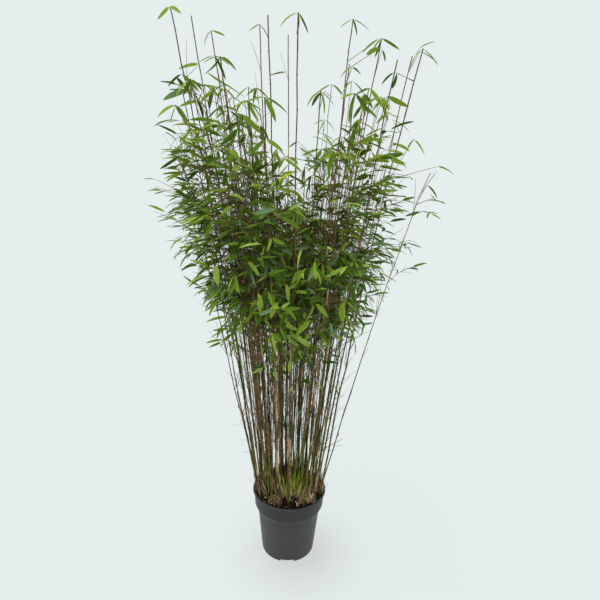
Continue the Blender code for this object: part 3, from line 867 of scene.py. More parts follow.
def within_limits(spots):
    """Whether spots lie inside the sides that no leaf passes."""
    low_x, low_y, high_x, high_y = LEAF_LIMITS
    x, y = spots[..., 0], spots[..., 1]
    return (x > low_x) & (y > low_y) & (x < high_x) & (y < high_y) & (spots[..., 2] < HIGHEST_LEAF)


def near_outlying(made, spots):
    """True where a spot is within the outlying cane's own reach."""
    line = line_at(made, np.full(spots.shape[:-1], made.outlying.argmax()), spots[..., 2])
    return np.linalg.norm(spots - line, axis=-1) < OUTLYING_REACH


def first_kept(fits):
    """The first try that fits in each row, and whether any does."""
    return np.argmax(fits, axis=1), fits.any(axis=1)


@functools.lru_cache(maxsize=1)
def plant():
    """The whole plant as arrays: canes, joints, branches, twigs, and where each leaf grows."""
    dice = np.random.default_rng(PLANT_SEED)
    outlying = Cane(OUTLYING_PLACE, OUTLYING_SPLIT, OUTLYING_TOP, "outlying", OUTLYING_THICKNESS)
    tall = [Cane((x, y), top, top, "tall", TALL_THICKNESS) for x, y, top in TALL_CANES]
    leafy = leafy_canes(tall + [outlying])
    leaning = [Cane((x, y), OUTER_START, top, "slender", LEANING_THICKNESS) for x, y, top in LEANING_CANES]
    slender = slender_canes(tall + leafy + leaning + [outlying])
    canes = tall + leafy + [outlying] + leaning + slender
    made = SimpleNamespace(canes=canes)
    for name in ("foot", "place", "top", "share"):
        setattr(made, name, np.array([getattr(cane, name) for cane in canes]))
    made.phase = dice.uniform(0.0, math.tau, len(canes))
    loose = np.array([cane.kind == "slender" for cane in canes])
    made.outlying = np.array([cane.kind == "outlying" for cane in canes])
    made.sway = np.where(loose, LOOSE_SWAY, STIFF_SWAY)
    made.bend = dice.normal(0.0, 0.5, (len(canes), 2)) + unit(made.place[:, :2]) * 0.9
    made.bend *= BEND * (loose * dice.uniform(0.0, 1.0, len(canes)))[:, None]
    made.joints = [joint_heights(cane.top, dice) for cane in canes]
    grow_branches(made, dice)
    grow_twigs(made, dice)
    grow_leaves(made, dice)
    grow_tips(made, dice)
    grow_accents(made)
    return made


def grow_branches(made, dice):
    """Three to five branches at each joint above the foliage's foot, turned on by the golden angle."""
    rows = []
    for number, cane in enumerate(made.canes):
        turn = dice.uniform(0.0, math.tau)
        lowest = cane.split - 0.02 if made.outlying[number] else LOWEST_BRANCH
        for low, high in zip(made.joints[number][1:-1], made.joints[number][2:]):
            steps = 2 if high - low > 0.07 and cane.kind != "tall" else 1
            for step in range(steps):
                height = low + (high - low) * step / steps
                if not lowest <= height <= cane.top - 0.015:
                    continue
                turn += GOLDEN_ANGLE + dice.uniform(-0.3, 0.3)
                count = int(dice.integers(3, 6))
                for branch in range(count):
                    aim = turn + (branch - (count - 1) / 2.0) * 1.1 + dice.uniform(-0.25, 0.25)
                    rows.append((number, height, aim, BRANCH_LENGTH * dice.uniform(0.45, 1.3)))
    which, heights, turns, lengths = np.array(rows).T
    which = which.astype(int)
    count = len(which)
    start = line_at(made, which, heights)
    ahead = unit(line_at(made, which, heights + 0.01) - start)
    tries = np.arange(TRIES)
    turn = turns[:, None] + dice.uniform(-1.0, 1.0, (count, TRIES)) * tries * 0.25
    length = lengths * (1.0 - 0.5 * ramp(start[:, 2] - steps_of(FOLIAGE_TOPS, start[:, 0]) + 0.2, 0.15))
    length = length[:, None] * 0.90**tries
    outward = start * (1.0, 1.0, 0.0)
    climb = dice.uniform(0.5, 1.5, (count, TRIES))
    heading = unit(level(turn) + OUTWARD_PULL * outward[:, None] + ahead[:, None] * climb[..., None])
    ends = start[:, None] + heading * (length + 0.02)[..., None]
    outlying = made.outlying[which]
    fits = np.where(outlying[:, None], near_outlying(made, ends), reach_share(ends) < 1.0)
    chosen, good = first_kept(fits)
    rows = np.arange(count)
    luck = dice.uniform(0.0, 1.0, count)
    good &= luck < np.where(outlying, OUTLYING_SHARE, foliage_chance(ends[rows, chosen]))
    good &= ends[rows, chosen, 2] < HIGHEST_BRANCH
    made.branch_cane = which[good]
    made.branch_start = start[good]
    made.branch_heading = heading[rows, chosen][good]
    made.branch_length = length[rows, chosen][good]
    made.branch_sag = dice.uniform(0.05, 0.35, good.sum())
    made.branch_shade = dice.uniform(0.0, 1.0, good.sum())


def along_branch(made, which, part):
    """A spot part of the way along a branch: start + length (part heading - sag part part up)."""
    spot = made.branch_heading[which] * part[..., None]
    spot[..., 2] -= made.branch_sag[which] * part * part
    return made.branch_start[which] + spot * made.branch_length[which][..., None]


def branch_direction(made, which, part):
    """The branch's direction part of the way along it: heading - 2 sag part up, at length one."""
    way = made.branch_heading[which].copy()
    way[..., 2] -= 2.0 * made.branch_sag[which] * part
    return unit(way)


def grow_twigs(made, dice):
    """Twigs along each branch, on its two sides in turn, and one that carries on from its end."""
    count = len(made.branch_length)
    shape = (count, MOST_TWIGS)
    wanted = np.clip(np.round(made.branch_length / TWIG_SPACING), 1, MOST_TWIGS).astype(int)
    number = np.arange(MOST_TWIGS)
    kept = number < wanted[:, None]
    part = 1.0 - number / (wanted[:, None] + 0.6) * 0.85
    part = np.where(number == 0, 1.0, part)
    which = np.arange(count)[:, None].repeat(MOST_TWIGS, axis=1)
    ahead = branch_direction(made, which, part)
    side = unit(np.cross(ahead, (0.0, 0.0, 1.0)))
    sign = np.where((number + which) % 2 == 0, 1.0, -1.0) * (number > 0)
    spread = dice.uniform(0.5, 1.1, shape) * sign
    heading = ahead + side * spread[..., None]
    heading[..., 2] += dice.uniform(-0.25, 0.25, shape)
    length = TWIG_LENGTH * dice.uniform(0.6, 1.4, shape)
    made.twig_branch = which[kept]
    made.twig_start = along_branch(made, which, part)[kept]
    made.twig_heading = unit(heading)[kept]
    made.twig_length = length[kept]


def grow_leaves(made, dice):
    """One to three leaves on each twig, the first carrying on from its end, the others to its two sides.

    The lower a leaf is in the crown, the more it hangs, with its face turned outward.
    """
    count = len(made.twig_length)
    pair = (count, MOST_LEAVES)
    wanted = np.digitize(dice.uniform(0.0, 1.0, count), LEAF_COUNTS) + 1
    kept = np.arange(MOST_LEAVES) < wanted[:, None]
    twig = made.twig_heading * made.twig_length[:, None]
    root = (made.twig_start + twig)[:, None] - twig[:, None] * np.array(LEAF_STARTS)[:, None]
    side = unit(np.cross(made.twig_heading, (0.0, 0.0, 1.0)))[:, None]
    sign = np.array(LEAF_SIDES) * np.where(dice.uniform(0, 1, count) < 0.5, 1.0, -1.0)[:, None]
    outward = unit(root * (1.0, 1.0, 0.0) - (CROWN_SHIFT, 0.0, 0.0))
    hang = ramp(HANG_UNDER - root[..., 2], HANG_FULLY)
    tries = np.arange(TRIES)
    shape = (*pair, TRIES)
    spread = sign[..., None] * dice.uniform(0.4, 1.7, shape)
    spread = spread + dice.normal(0.0, 0.30, shape) * (1.0 + tries * 0.2)
    sag = dice.uniform(-0.30, 0.62, shape) + hang[..., None] * dice.uniform(-0.2, 1.7, shape)
    sag += dice.uniform(-0.5, 0.5, shape) * tries / TRIES
    pull = dice.uniform(0.0, 0.7, shape)
    aim = made.twig_heading[:, None, None] + side[:, :, None] * spread[..., None]
    aim = aim + outward[:, :, None] * pull[..., None]
    aim[..., 2] -= sag
    aim = unit(aim)
    upper = ramp(root[..., 2] - steps_of(FOLIAGE_TOPS, root[..., 0]) + 0.2, 0.2)
    large = np.maximum(ramp(-root[..., 1], 0.25) * hang, upper)
    large = large * (dice.uniform(0.0, 1.0, pair) < 0.26 + 0.34 * upper)
    length = LEAF_LENGTH * (np.clip(dice.normal(0.94, 0.25, pair), 0.4, 1.35) + 0.14 * large)
    tips = root[:, :, None] + aim * length[..., None, None]
    allowed = np.where(dice.uniform(0, 1, (*pair, 1)) < STRAY_LEAVES, STRAY_REACH, USUAL_REACH)
    outlying = made.outlying[made.branch_cane][made.twig_branch][:, None, None]
    fits = np.where(outlying, near_outlying(made, tips), reach_share(tips, allowed) < 1.0)
    chosen, good = first_kept((fits & within_limits(tips)).reshape(-1, TRIES))
    flat = np.arange(count * MOST_LEAVES)
    good &= kept.ravel()
    made.leaf_root = root.reshape(-1, 3)[good]
    made.leaf_aim = aim.reshape(-1, TRIES, 3)[flat, chosen][good]
    made.leaf_length = length.ravel()[good]
    made.leaf_shade = made.branch_shade[made.twig_branch].repeat(MOST_LEAVES)[good]
    made.leaf_out = outward.reshape(-1, 3)[good]
    made.leaf_hang = hang.ravel()[good]
    made.leaf_broad = 1.0 + 0.40 * large.ravel()[good]
    made.leaf_own = np.zeros(good.sum(), bool)


def extend(made, **more):
    """Puts more rows after those that the plant has under each name."""
    for name, rows in more.items():
        setattr(made, name, np.concatenate([getattr(made, name), rows]))


def add_leaves(made, root, tip, shade, broad):
    """More leaves after the rule's: from root to tip, faces up, with their shade and share of the width."""
    reach = np.linalg.norm(tip - root, axis=-1)
    count = len(root)
    extend(made, leaf_root=root, leaf_aim=(tip - root) / reach[:, None], leaf_length=reach, leaf_shade=shade)
    extend(made, leaf_out=np.tile((0.0, -0.6, 0.0), (count, 1)), leaf_hang=np.zeros(count))
    extend(made, leaf_broad=np.full(count, broad), leaf_own=np.ones(count, bool))


def grow_tips(made, dice):
    """Two or three leaves at the tip of each cane, that droop to its two sides like an umbrella's ribs."""
    roots, tips = [], []
    for number, cane in enumerate(made.canes):
        if dice.uniform() < (BARE_HIGH_TIPS if cane.top > HIGH_TIP else BARE_TIPS):
            continue
        root = line_at(made, np.array([number]), np.array([cane.top]))[0]
        turn = dice.normal(0.0, 0.5) + (0.0 if dice.uniform() < 0.5 else math.pi)
        for leaf in range(int(dice.integers(2, 4))):
            bearing = turn + leaf * math.pi + dice.normal(0.0, 0.3)
            droop = dice.uniform(0.2, 0.9) if leaf < 2 else dice.uniform(1.5, 4.0)
            aim = Vector((math.cos(bearing), math.sin(bearing), -droop)).normalized()
            roots.append(root)
            tips.append(root + np.array(aim) * dice.uniform(0.050, 0.082))
    add_leaves(made, np.array(roots), np.array(tips), dice.uniform(0.2, 0.85, len(roots)), TIP_BROAD)


def camera_axes():
    """The camera's forward, right and up: turned by yaw about Z, then by pitch, then rolled about forward."""
    yaw, pitch, roll = (math.radians(turn) for turn in CAMERA_TURNS)
    level = math.cos(pitch)
    forward = Vector((math.sin(yaw) * level, math.cos(yaw) * level, math.sin(pitch)))
    right = Vector((math.cos(yaw), -math.sin(yaw), 0.0))
    up = right.cross(forward)
    return forward, right * math.cos(roll) + up * math.sin(roll), up * math.cos(roll) - right * math.sin(roll)


def seen_at(pixels, depth):
    """Where the ray through a pixel meets the plane y = depth: camera + ray (depth - camera y) / ray y."""
    forward, right, up = (np.array(axis) for axis in camera_axes())
    focal = FRAME_PIXELS * CAMERA_LENS / CAMERA_SENSOR
    across = (pixels[:, :1] - 0.5 * FRAME_PIXELS) / focal
    above = (0.5 * FRAME_PIXELS - pixels[:, 1:]) / focal
    ray = forward + right * across + up * above
    return np.array(CAMERA_PLACE) + ray * ((depth - CAMERA_PLACE[1]) / ray[:, 1])[:, None]


def grow_accents(made):
    """The leaves that stand out, each on a fine branch of its own from the nearest cane below it."""
    root, tip, depth, shade = (np.array(part) for part in zip(*ACCENT_LEAVES))
    root = seen_at(root, depth)
    tip = seen_at(tip, depth - TIP_NEARER)
    count = len(root)
    every = np.arange(len(made.canes))[None].repeat(count, axis=0)
    below = (root[:, 2] - 0.045)[:, None].repeat(len(made.canes), axis=1)
    spots = line_at(made, every, below)
    gap = np.linalg.norm(spots - root[:, None], axis=-1) + np.where(made.top < below + 0.03, 9.0, 0.0)
    near = gap.argmin(axis=1)
    start = spots[np.arange(count), near]
    reach = np.linalg.norm(root - start, axis=-1)
    extend(made, branch_cane=near, branch_start=start, branch_heading=(root - start) / reach[:, None])
    extend(made, branch_length=reach, branch_sag=np.zeros(count), branch_shade=shade)
    add_leaves(made, root, tip, shade, ACCENT_BROAD)


# ---- leaves


def leaf_blades(roots, aims, ups, lengths, widths, dice, fine=True):
    """Folded blades, single sheets on a grid of t along, 0 to 1, and c across, -1 to 1, finer or plainer.

    Middle line: root + length ((t - 0.25 d t t) aim - d t t face + s t (1 - t) side), droop d and sweep s.
    Half width: w(t) = sin(pi t^0.85)^0.58 (1 - 0.15 t^4) times half the width, narrowed to a stalk at t = 0.
    Across it: c w side + (fold |c| - 0.1 (1 - c c)) w face, with side and face turned by twist t.
    """
    along = np.array([0.0, 0.06, 0.17, 0.38, 0.62, 0.84, 1.0] if fine else [0.0, 0.07, 0.28, 0.62, 0.88, 1.0])
    across = np.array([-1.0, -0.52, 0.0, 0.52, 1.0] if fine else [-1.0, 0.0, 1.0])
    half = np.sin(math.pi * along**0.85).clip(0.0) ** 0.58 * (1.0 - 0.15 * along**4)
    half[:2] = (0.075, 0.16)
    count, rows, columns = len(roots), len(along), len(across)
    side = unit(np.cross(aims, ups))
    face = np.cross(side, aims)
    droop = dice.uniform(0.02, 0.30, count)[:, None]
    sweep = dice.normal(0.0, 0.05, count)[:, None]
    fold = dice.uniform(0.12, 0.5, count)
    twist = dice.normal(0.0, 0.35, count)[:, None] * along
    t = along[None, :]
    middle = roots[:, None] + lengths[:, None, None] * (
        aims[:, None] * (t - 0.25 * droop * t * t)[..., None]
        - face[:, None] * (droop * t * t)[..., None]
        + side[:, None] * (sweep * t * (1.0 - t))[..., None]
    )
    cos, sin = np.cos(twist)[..., None], np.sin(twist)[..., None]
    turned_side = side[:, None] * cos + face[:, None] * sin
    turned_face = face[:, None] * cos - side[:, None] * sin
    wide = 0.5 * widths[:, None] * half
    lift = fold[:, None, None] * np.abs(across) - 0.10 * (1.0 - across**2)
    points = (
        middle[:, :, None]
        + turned_side[:, :, None] * (wide[:, :, None] * across)[..., None]
        + turned_face[:, :, None] * (wide[:, :, None] * lift)[..., None]
    )
    body = points[:, :-1].reshape(count, -1, 3)
    points = np.concatenate([body, points[:, -1, 2:3]], axis=1)
    each = (rows - 1) * columns + 1
    grid = np.arange((rows - 1) * columns).reshape(rows - 1, columns)
    quads = stacked(grid[:-1, :-1], grid[:-1, 1:], grid[1:, 1:], grid[1:, :-1]).reshape(-1, 4)
    tips = stacked(grid[-1, :-1], grid[-1, 1:], np.full(columns - 1, each - 1))
    u = 0.5 + 0.5 * across * 0.96
    v = 0.02 + 0.96 * along
    place = stacked(np.tile(u, rows - 1), np.repeat(v[:-1], columns))
    place = np.concatenate([place, [[0.5, v[-1]]]])
    offset = (np.arange(count) * each)[:, None, None]
    faces = [(quads + offset).reshape(-1, 4), (tips + offset).reshape(-1, 3)]
    maps = [np.tile(place[quads], (count, 1, 1)), np.tile(place[tips], (count, 1, 1))]
    return points.reshape(-1, 3), faces, maps


# ---- turned shapes


def eased(profile, radius):
    """The profile with each inner corner rounded: two points back along its sides and one between."""
    profile = np.array(profile, float)
    found = [profile[0]]
    for before, corner, after in zip(profile[:-2], profile[1:-1], profile[2:]):
        first = min(0.45, radius / max(1e-9, np.linalg.norm(before - corner)))
        second = min(0.45, radius / max(1e-9, np.linalg.norm(after - corner)))
        start = corner + (before - corner) * first
        end = corner + (after - corner) * second
        found += [start, 0.25 * start + 0.5 * corner + 0.25 * end, end]
    found.append(profile[-1])
    return np.array(found)


def turned(profile, angles, heights):
    """A closed profile turned round Z: (r sin a, -r cos a, z). Its two ends lie on the axis.

    heights is (rows, angles) and takes the place of the profile's own heights between its ends.
    """
    rows, count = len(profile) - 2, len(angles)
    radius = profile[1:-1, 0][:, None]
    points = stacked(radius * np.sin(angles), -radius * np.cos(angles), heights).reshape(-1, 3)
    poles = np.array([[0.0, 0.0, profile[0, 1]], [0.0, 0.0, profile[-1, 1]]])
    points = np.concatenate([points, poles])
    index = np.arange(rows * count).reshape(rows, count)
    after = np.roll(index, -1, axis=1)
    quads = stacked(index[:-1], index[1:], after[1:], after[:-1]).reshape(-1, 4)
    first = stacked(np.full(count, rows * count), index[0], after[0])
    last = stacked(np.full(count, rows * count + 1), after[-1], index[-1])
    shares = np.linspace(0.0, 1.0, count + 1)
    reach = np.linspace(0.0, 1.0, rows)
    u = stacked(shares[:-1], shares[:-1], shares[1:], shares[1:])[None].repeat(rows - 1, axis=0)
    v = stacked(reach[:-1], reach[1:], reach[1:], reach[:-1])[:, None].repeat(count, axis=1)
    maps = [stacked(u, v).reshape(-1, 4, 2), np.zeros((count, 3, 2)), np.ones((count, 3, 2))]
    return points, [quads, first, last], maps


def own_heights(profile, count):
    """The profile's own heights between its ends, the same at each of so many angles."""
    return np.repeat(profile[1:-1, 1][:, None], count, axis=1)


def wall_radius(height):
    """The outside of the pot's lower wall, from the base up to the shoulder's foot."""
    top = RIM_RADIUS - BEAD_DEPTH - COLLAR_TAPER - SHOULDER_DEPTH
    return BASE_RADIUS + (top - BASE_RADIUS) * height / SHOULDER_FOOT


# ---- properties


def colour_property(name, description, default):
    """A colour that a user would change, in the panel."""
    return bpy.props.FloatVectorProperty(
        name=name, description=description, default=default, subtype="COLOR", size=3, min=0, max=1
    )


class BambooPot(bpy.types.PropertyGroup):
    colour: colour_property("Plastic", "Colour of the pot", (0.0405, 0.0352, 0.0400))
    steps: bpy.props.IntProperty(
        name="Steps", description="Faces round the pot", default=144, min=32, max=512
    )
    soil_colour: colour_property("Potting mix", "Colour of the peat", (0.0085, 0.0052, 0.0028))


class BambooCanes(bpy.types.PropertyGroup):
    olive: colour_property("Olive", "Colour of the green internodes", (0.118, 0.136, 0.010))
    brown: colour_property("Brown", "Colour of the sun-tanned internodes", (0.300, 0.168, 0.068))
    plum: colour_property("Plum", "Colour of the dark upper internodes", (0.180, 0.108, 0.056))
    sheath: colour_property("Sheath", "Colour of the papery sheaths", (0.500, 0.322, 0.178))
    fresh: colour_property("Fresh", "Colour of the youngest canes at the foot", (0.240, 0.290, 0.030))


class BambooLeaves(bpy.types.PropertyGroup):
    length: bpy.props.FloatProperty(
        name="Leaf length", description="Length of a usual leaf", default=LEAF_LENGTH, unit="LENGTH",
        min=0.02, max=0.2,
    )
    width: bpy.props.FloatProperty(
        name="Leaf width", description="Width of a usual leaf", default=LEAF_WIDTH, unit="LENGTH",
        min=0.004, max=0.05,
    )


class BambooStage(bpy.types.PropertyGroup):
    backdrop: colour_property("Backdrop", "Colour of the floor and the background", (0.783, 0.855, 0.847))
    lamp: bpy.props.FloatProperty(
        name="Lamp", description="Strength of the soft lamp beside the even light", default=0.55,
        min=0.0, max=5.0,
    )
    glow: bpy.props.FloatProperty(
        name="Floor glow", description="Share of the floor's light that no shadow takes away", default=0.90,
        min=0.0, max=1.0, subtype="FACTOR",
    )


# ---- operators


class BAMBOO_OT_pot(bpy.types.Operator):
    """Add the grower's pot: rolled rim, collar, sloping shoulder, tapered wall and notched foot"""

    bl_idname = "bamboo.pot"
    bl_label = "Pot"

    def execute(self, context):
        look = context.scene.bamboo_pot
        collar = RIM_RADIUS - BEAD_DEPTH
        inner = collar - WALL
        floor = FLOOR_THICKNESS + CHANNEL_HEIGHT
        inside = [
            (0.0, FLOOR_THICKNESS),
            (CHANNEL_INNER - CHANNEL_SLOPE, FLOOR_THICKNESS),
            (CHANNEL_INNER, floor),
            (wall_radius(floor) - WALL, floor),
            (wall_radius(SHOULDER_FOOT) - WALL, SHOULDER_FOOT),
            (inner - COLLAR_TAPER, COLLAR_FOOT),
            (inner, POT_HEIGHT - RIM_ROUND),
            (inner + RIM_ROUND, POT_HEIGHT),
        ]
        outside = [
            (RIM_RADIUS - RIM_ROUND, POT_HEIGHT),
            (RIM_RADIUS, POT_HEIGHT - RIM_ROUND),
            (RIM_RADIUS, POT_HEIGHT - BEAD_HEIGHT),
            (collar + 0.0008, POT_HEIGHT - BEAD_HEIGHT - BEAD_SLOPE),
            (collar, POT_HEIGHT - BEAD_HEIGHT - BEAD_SLOPE - 0.002),
            (collar - COLLAR_TAPER, COLLAR_FOOT),
            (wall_radius(SHOULDER_FOOT), SHOULDER_FOOT),
            (wall_radius(0.012), 0.012),
            (BASE_RADIUS, 0.0),
            (CHANNEL_OUTER, 0.0),
            (CHANNEL_OUTER - CHANNEL_SLOPE, CHANNEL_HEIGHT),
            (CHANNEL_INNER + CHANNEL_SLOPE, CHANNEL_HEIGHT),
            (CHANNEL_INNER, 0.0),
            (0.0, 0.0),
        ]
        profile = eased(inside + outside, CORNER_ROUND)
        half = math.asin(0.5 * NOTCH_WIDTH / BASE_RADIUS)
        notch = math.tau / NOTCHES
        edges = [n * notch + s * half + e for n in range(NOTCHES) for s in (-1, 1) for e in (-0.002, 0.002)]
        angles = np.concatenate([np.arange(look.steps) * math.tau / look.steps, np.mod(edges, math.tau)])
        angles = np.unique(angles)
        heights = own_heights(profile, len(angles))
        radius = profile[1:-1, 0][:, None]
        turn = np.mod(angles + math.pi / NOTCHES, notch) - math.pi / NOTCHES
        under = np.arange(len(radius))[:, None] > len(radius) // 2
        cut = under & (radius > CHANNEL_OUTER - CHANNEL_SLOPE - 0.001) & (np.abs(turn) < half)
        heights = np.where(cut, np.maximum(heights, CHANNEL_HEIGHT), heights)
        material = pot_material("recycled_pot_plastic", tuple(look.colour))
        new_piece("growers_pot", [turned(profile, angles, heights)], material, ["pot"])
        return {"FINISHED"}


class BAMBOO_OT_soil(bpy.types.Operator):
    """Add the potting mix with its lumpy top, peat crumbs, straw litter and the young shoots"""

    bl_idname = "bamboo.soil"
    bl_label = "Soil, litter and shoots"

    def execute(self, context):
        look = context.scene.bamboo_pot
        dice = np.random.default_rng(PLANT_SEED + 1)
        edge = RIM_RADIUS - BEAD_DEPTH - WALL - GAP
        floor = FLOOR_THICKNESS + CHANNEL_HEIGHT + GAP
        outline = [(radius, GROUND) for radius in np.linspace(0.0, edge - 0.001, SOIL_RINGS)]
        outline += [
            (edge - 0.0004, GROUND - 0.004),
            (edge - COLLAR_TAPER, COLLAR_FOOT),
            (wall_radius(SHOULDER_FOOT) - WALL - GAP, SHOULDER_FOOT),
            (wall_radius(floor) - WALL - GAP, floor),
            (0.0, floor),
        ]
        profile = np.array(outline)
        angles = np.arange(SOIL_STEPS) * math.tau / SOIL_STEPS
        radius = profile[1:-1, 0][:, None]
        relief = soil_height(radius * np.sin(angles), -radius * np.cos(angles))
        inside = (np.arange(len(radius)) < SOIL_RINGS - 1)[:, None]
        heights = np.where(inside, relief, own_heights(profile, len(angles)))
        soil = soil_material("peat_mix", tuple(look.soil_colour))
        body = turned(profile[::-1], angles, heights[::-1])
        new_piece("potting_soil", [body], soil, ["root_ball"])
        self.crumbs(dice, soil)
        self.litter(dice)
        self.tufts(dice)
        self.shoots(dice)
        return {"FINISHED"}

    def crumbs(self, dice, soil):
        """Peat lumps and bark: rough grains, each stretched and turned its own way."""
        x, y, _, _ = scattered(dice, 0.129, CRUMBS)
        size = np.exp(dice.normal(math.log(0.0017), 0.45, CRUMBS)).clip(0.0007, 0.0048)
        middle = stacked(x, y, soil_height(x, y) + size * 0.35)
        new_piece("peat_crumbs", [grains(middle, size, dice)], soil)
        x, y, _, _ = scattered(dice, 0.126, BARK_BITS)
        size = dice.uniform(0.0012, 0.0034, BARK_BITS)
        middle = stacked(x, y, soil_height(x, y) + size * 0.5)
        bark = twig_material("bark_bits", (0.11, 0.062, 0.03), (0.03, 0.018, 0.01))
        new_piece("bark_bits", [grains(middle, size, dice)], bark)

    def litter(self, dice):
        """Dead sheaths and leaf strips that lean on the soil at one end: two heaps, a ring, and the rest."""
        for name, count, colour, other in LITTER:
            x, y, spread, turn = scattered(dice, 0.122, count, 0.04)
            heap = dice.uniform(0.0, 1.0, count)
            for middle, scatter, (least, most) in (RIGHT_HEAP, LEFT_HEAP):
                mine = (heap >= least) & (heap < most)
                x = np.where(mine, middle[0] + dice.normal(0.0, scatter[0], count), x)
                y = np.where(mine, middle[1] + dice.normal(0.0, scatter[1], count), y)
            right = heap < RIGHT_HEAP[2][1]
            ring = ~right & (heap < RING_END)
            bare = ~right & (heap < LEFT_HEAP[2][0]) & (np.abs(x - 0.012) < 0.034) & (y < -0.045)
            x, y = np.where(bare, -0.2 * x, x), np.where(bare, -y, y)
            inward = np.minimum(1.0, FURTHEST_LITTER / np.hypot(x, y))
            x, y = x * inward, y * inward
            bearing = dice.uniform(0, math.tau, count)
            length = dice.uniform(0.020, 0.058, count)
            end = np.hypot(x + length * np.cos(bearing), y + length * np.sin(bearing))
            back = np.arctan2(-y, -x) + dice.normal(0, 0.6, count)
            bearing = np.where(end > FURTHEST_LITTER_END, back, bearing)
            tilt = dice.uniform(0.05, 0.9, count) + np.where(right, dice.uniform(0.0, 1.1, count), 0.0)
            x, y = (np.where(ring, part * RING_RADIUS / np.maximum(spread, 0.02), part) for part in (x, y))
            bearing = np.where(ring, turn + math.pi / 2 + dice.normal(0.0, 0.45, count), bearing)
            length = np.where(ring, 0.6 * length, length)
            aim = unit(stacked(np.cos(bearing), np.sin(bearing), tilt))
            root = stacked(x, y, soil_height(x, y) + np.where(ring, 0.004, 0.0012))
            up = unit(stacked(dice.normal(0, 0.5, count), dice.normal(0, 0.5, count), np.ones(count)))
            width = dice.uniform(0.0010, 0.0021, count) + np.where(right, 0.0005, 0.0)
            part = leaf_blades(root, aim, up, length, width, dice)
            new_piece(name, [part], sheath_material(name, colour, other))

    def shoots(self, dice):
        """Young shoots, straw-pale at the foot and green above, crowded in front of the clump's middle."""
        part = np.array([-0.06, 0.0, 0.12, 0.35, 0.6, 0.8, 0.93, 1.0])
        taper = np.array([0.9, 1.0, 1.0, 0.92, 0.76, 0.52, 0.26, 0.04])
        for name, count, aside, wide, tallest, colours in SHOOTS:
            x = SHOOTS_PLACE[0] + aside[0] + dice.normal(0.0, wide, count)
            y = SHOOTS_PLACE[1] + aside[1] + dice.normal(0.0, 0.011, count)
            length = 0.020 + tallest * dice.uniform(0.0, 1.0, count) ** 1.5
            lean = stacked((x - 0.008) * 5.0, (y + 0.03) * 4.0, np.ones(count))
            lean[:, :2] += dice.normal(0.0, 0.12, (count, 2))
            root = stacked(x, y, soil_height(x, y))
            spots = root[:, None] + unit(lean)[:, None] * (length[:, None] * part)[..., None]
            radii = dice.uniform(0.0010, 0.0023, count)[:, None] * taper
            part_mesh = tubes(spots, radii, CANE_SIDES, dice.integers(0, LANES, count))
            new_piece(name, [part_mesh], shoot_material(name, *colours))

    def tufts(self, dice):
        """Split, straw-coloured sheaths that stand round each cane's foot, leaning off it."""
        made = plant()
        which = np.arange(len(made.canes)).repeat(TUFTS_EACH)
        count = len(which)
        height = GROUND + dice.uniform(0.001, 0.022, count)
        off = level(dice.uniform(0.0, math.tau, count))
        root = line_at(made, which, height) + off * 0.0030
        aim = off * dice.uniform(0.05, 0.75, count)[:, None]
        aim[:, 2] += 1.0
        aim[:, :2] += made.foot[which][:, :2] * 2.0
        length = 0.014 + 0.062 * dice.uniform(0.0, 1.0, count) ** 1.6
        width = dice.uniform(0.0014, 0.0034, count)
        pale = dice.uniform(0.0, 1.0, count) < PALE_TUFTS
        for name, mine, colour, other in (
            ("straw_tufts", pale, (0.66, 0.49, 0.30), (0.26, 0.16, 0.075)),
            ("brown_tufts", ~pale, (0.145, 0.082, 0.036), (0.045, 0.026, 0.012)),
        ):
            part = leaf_blades(root[mine], unit(aim[mine]), off[mine], length[mine], width[mine], dice)
            new_piece(name, [part], sheath_material(name, colour, other))


def soil_height(x, y):
    """The soil's top: 2.5 mm over the ground, with slow swells, small lumps and grit, lower by the wall."""
    swell = 0.0022 * np.sin(x * 61.0 + 1.0) * np.sin(y * 53.0 + 0.4)
    lumps = 0.0013 * np.sin(x * 310.0 + 2.0 * np.sin(y * 170.0)) * np.sin(y * 290.0 + 2.0 * np.sin(x * 190.0))
    grit = 0.0006 * np.sin(x * 1130.0 + 3.0 * np.sin(y * 610.0))
    grit = grit * np.sin(y * 1210.0 + 3.0 * np.sin(x * 570.0))
    away = ramp(np.hypot(x, y) - 0.112, 0.018)
    return GROUND + 0.0025 + swell + lumps + grit - 0.005 * away * away


def grains(middles, sizes, dice):
    """Rough grains: the corners of an octahedron and of a cube, each pushed in or out by its own amount."""
    sides = (-1, 1)
    corners = np.array([(x, y, z) for x in sides for y in sides for z in sides]) * 0.62
    axes = np.array([(1, 0, 0), (-1, 0, 0), (0, 1, 0), (0, -1, 0), (0, 0, 1), (0, 0, -1)], float)
    base = np.concatenate([corners, axes])
    count = len(middles)
    rough = 1.0 + dice.normal(0.0, 0.16, (count, len(base), 1))
    squash = dice.uniform(0.6, 1.5, (count, 1, 3)) * (1.0, 1.0, 0.75)
    turn = dice.uniform(0.0, math.tau, count)
    cos, sin = np.cos(turn)[:, None], np.sin(turn)[:, None]
    x, y, z = np.moveaxis(base[None] * rough * squash, -1, 0)
    spots = stacked(x * cos - y * sin, x * sin + y * cos, z) * sizes[:, None, None] + middles[:, None]
    faces = []
    for axis, normal in enumerate(axes):
        ring = [n for n in range(8) if np.dot(corners[n], normal) > 0]
        first = corners[ring[0]] - normal * 0.62
        second = np.cross(normal, first)
        ring.sort(key=lambda n: math.atan2(np.dot(corners[n], second), np.dot(corners[n], first)))
        faces += [(8 + axis, ring[k], ring[(k + 1) % 4]) for k in range(4)]
    faces = np.array(faces)
    offset = (np.arange(count) * len(base))[:, None, None]
    place = 0.5 + 0.4 * base[:, :2]
    shift = np.repeat(dice.uniform(-0.1, 0.1, (count, 1, 1, 2)), len(faces), axis=1)
    maps = (place[faces][None] + shift).reshape(-1, 3, 2)
    return spots.reshape(-1, 3), [(faces + offset).reshape(-1, 3)], [maps]


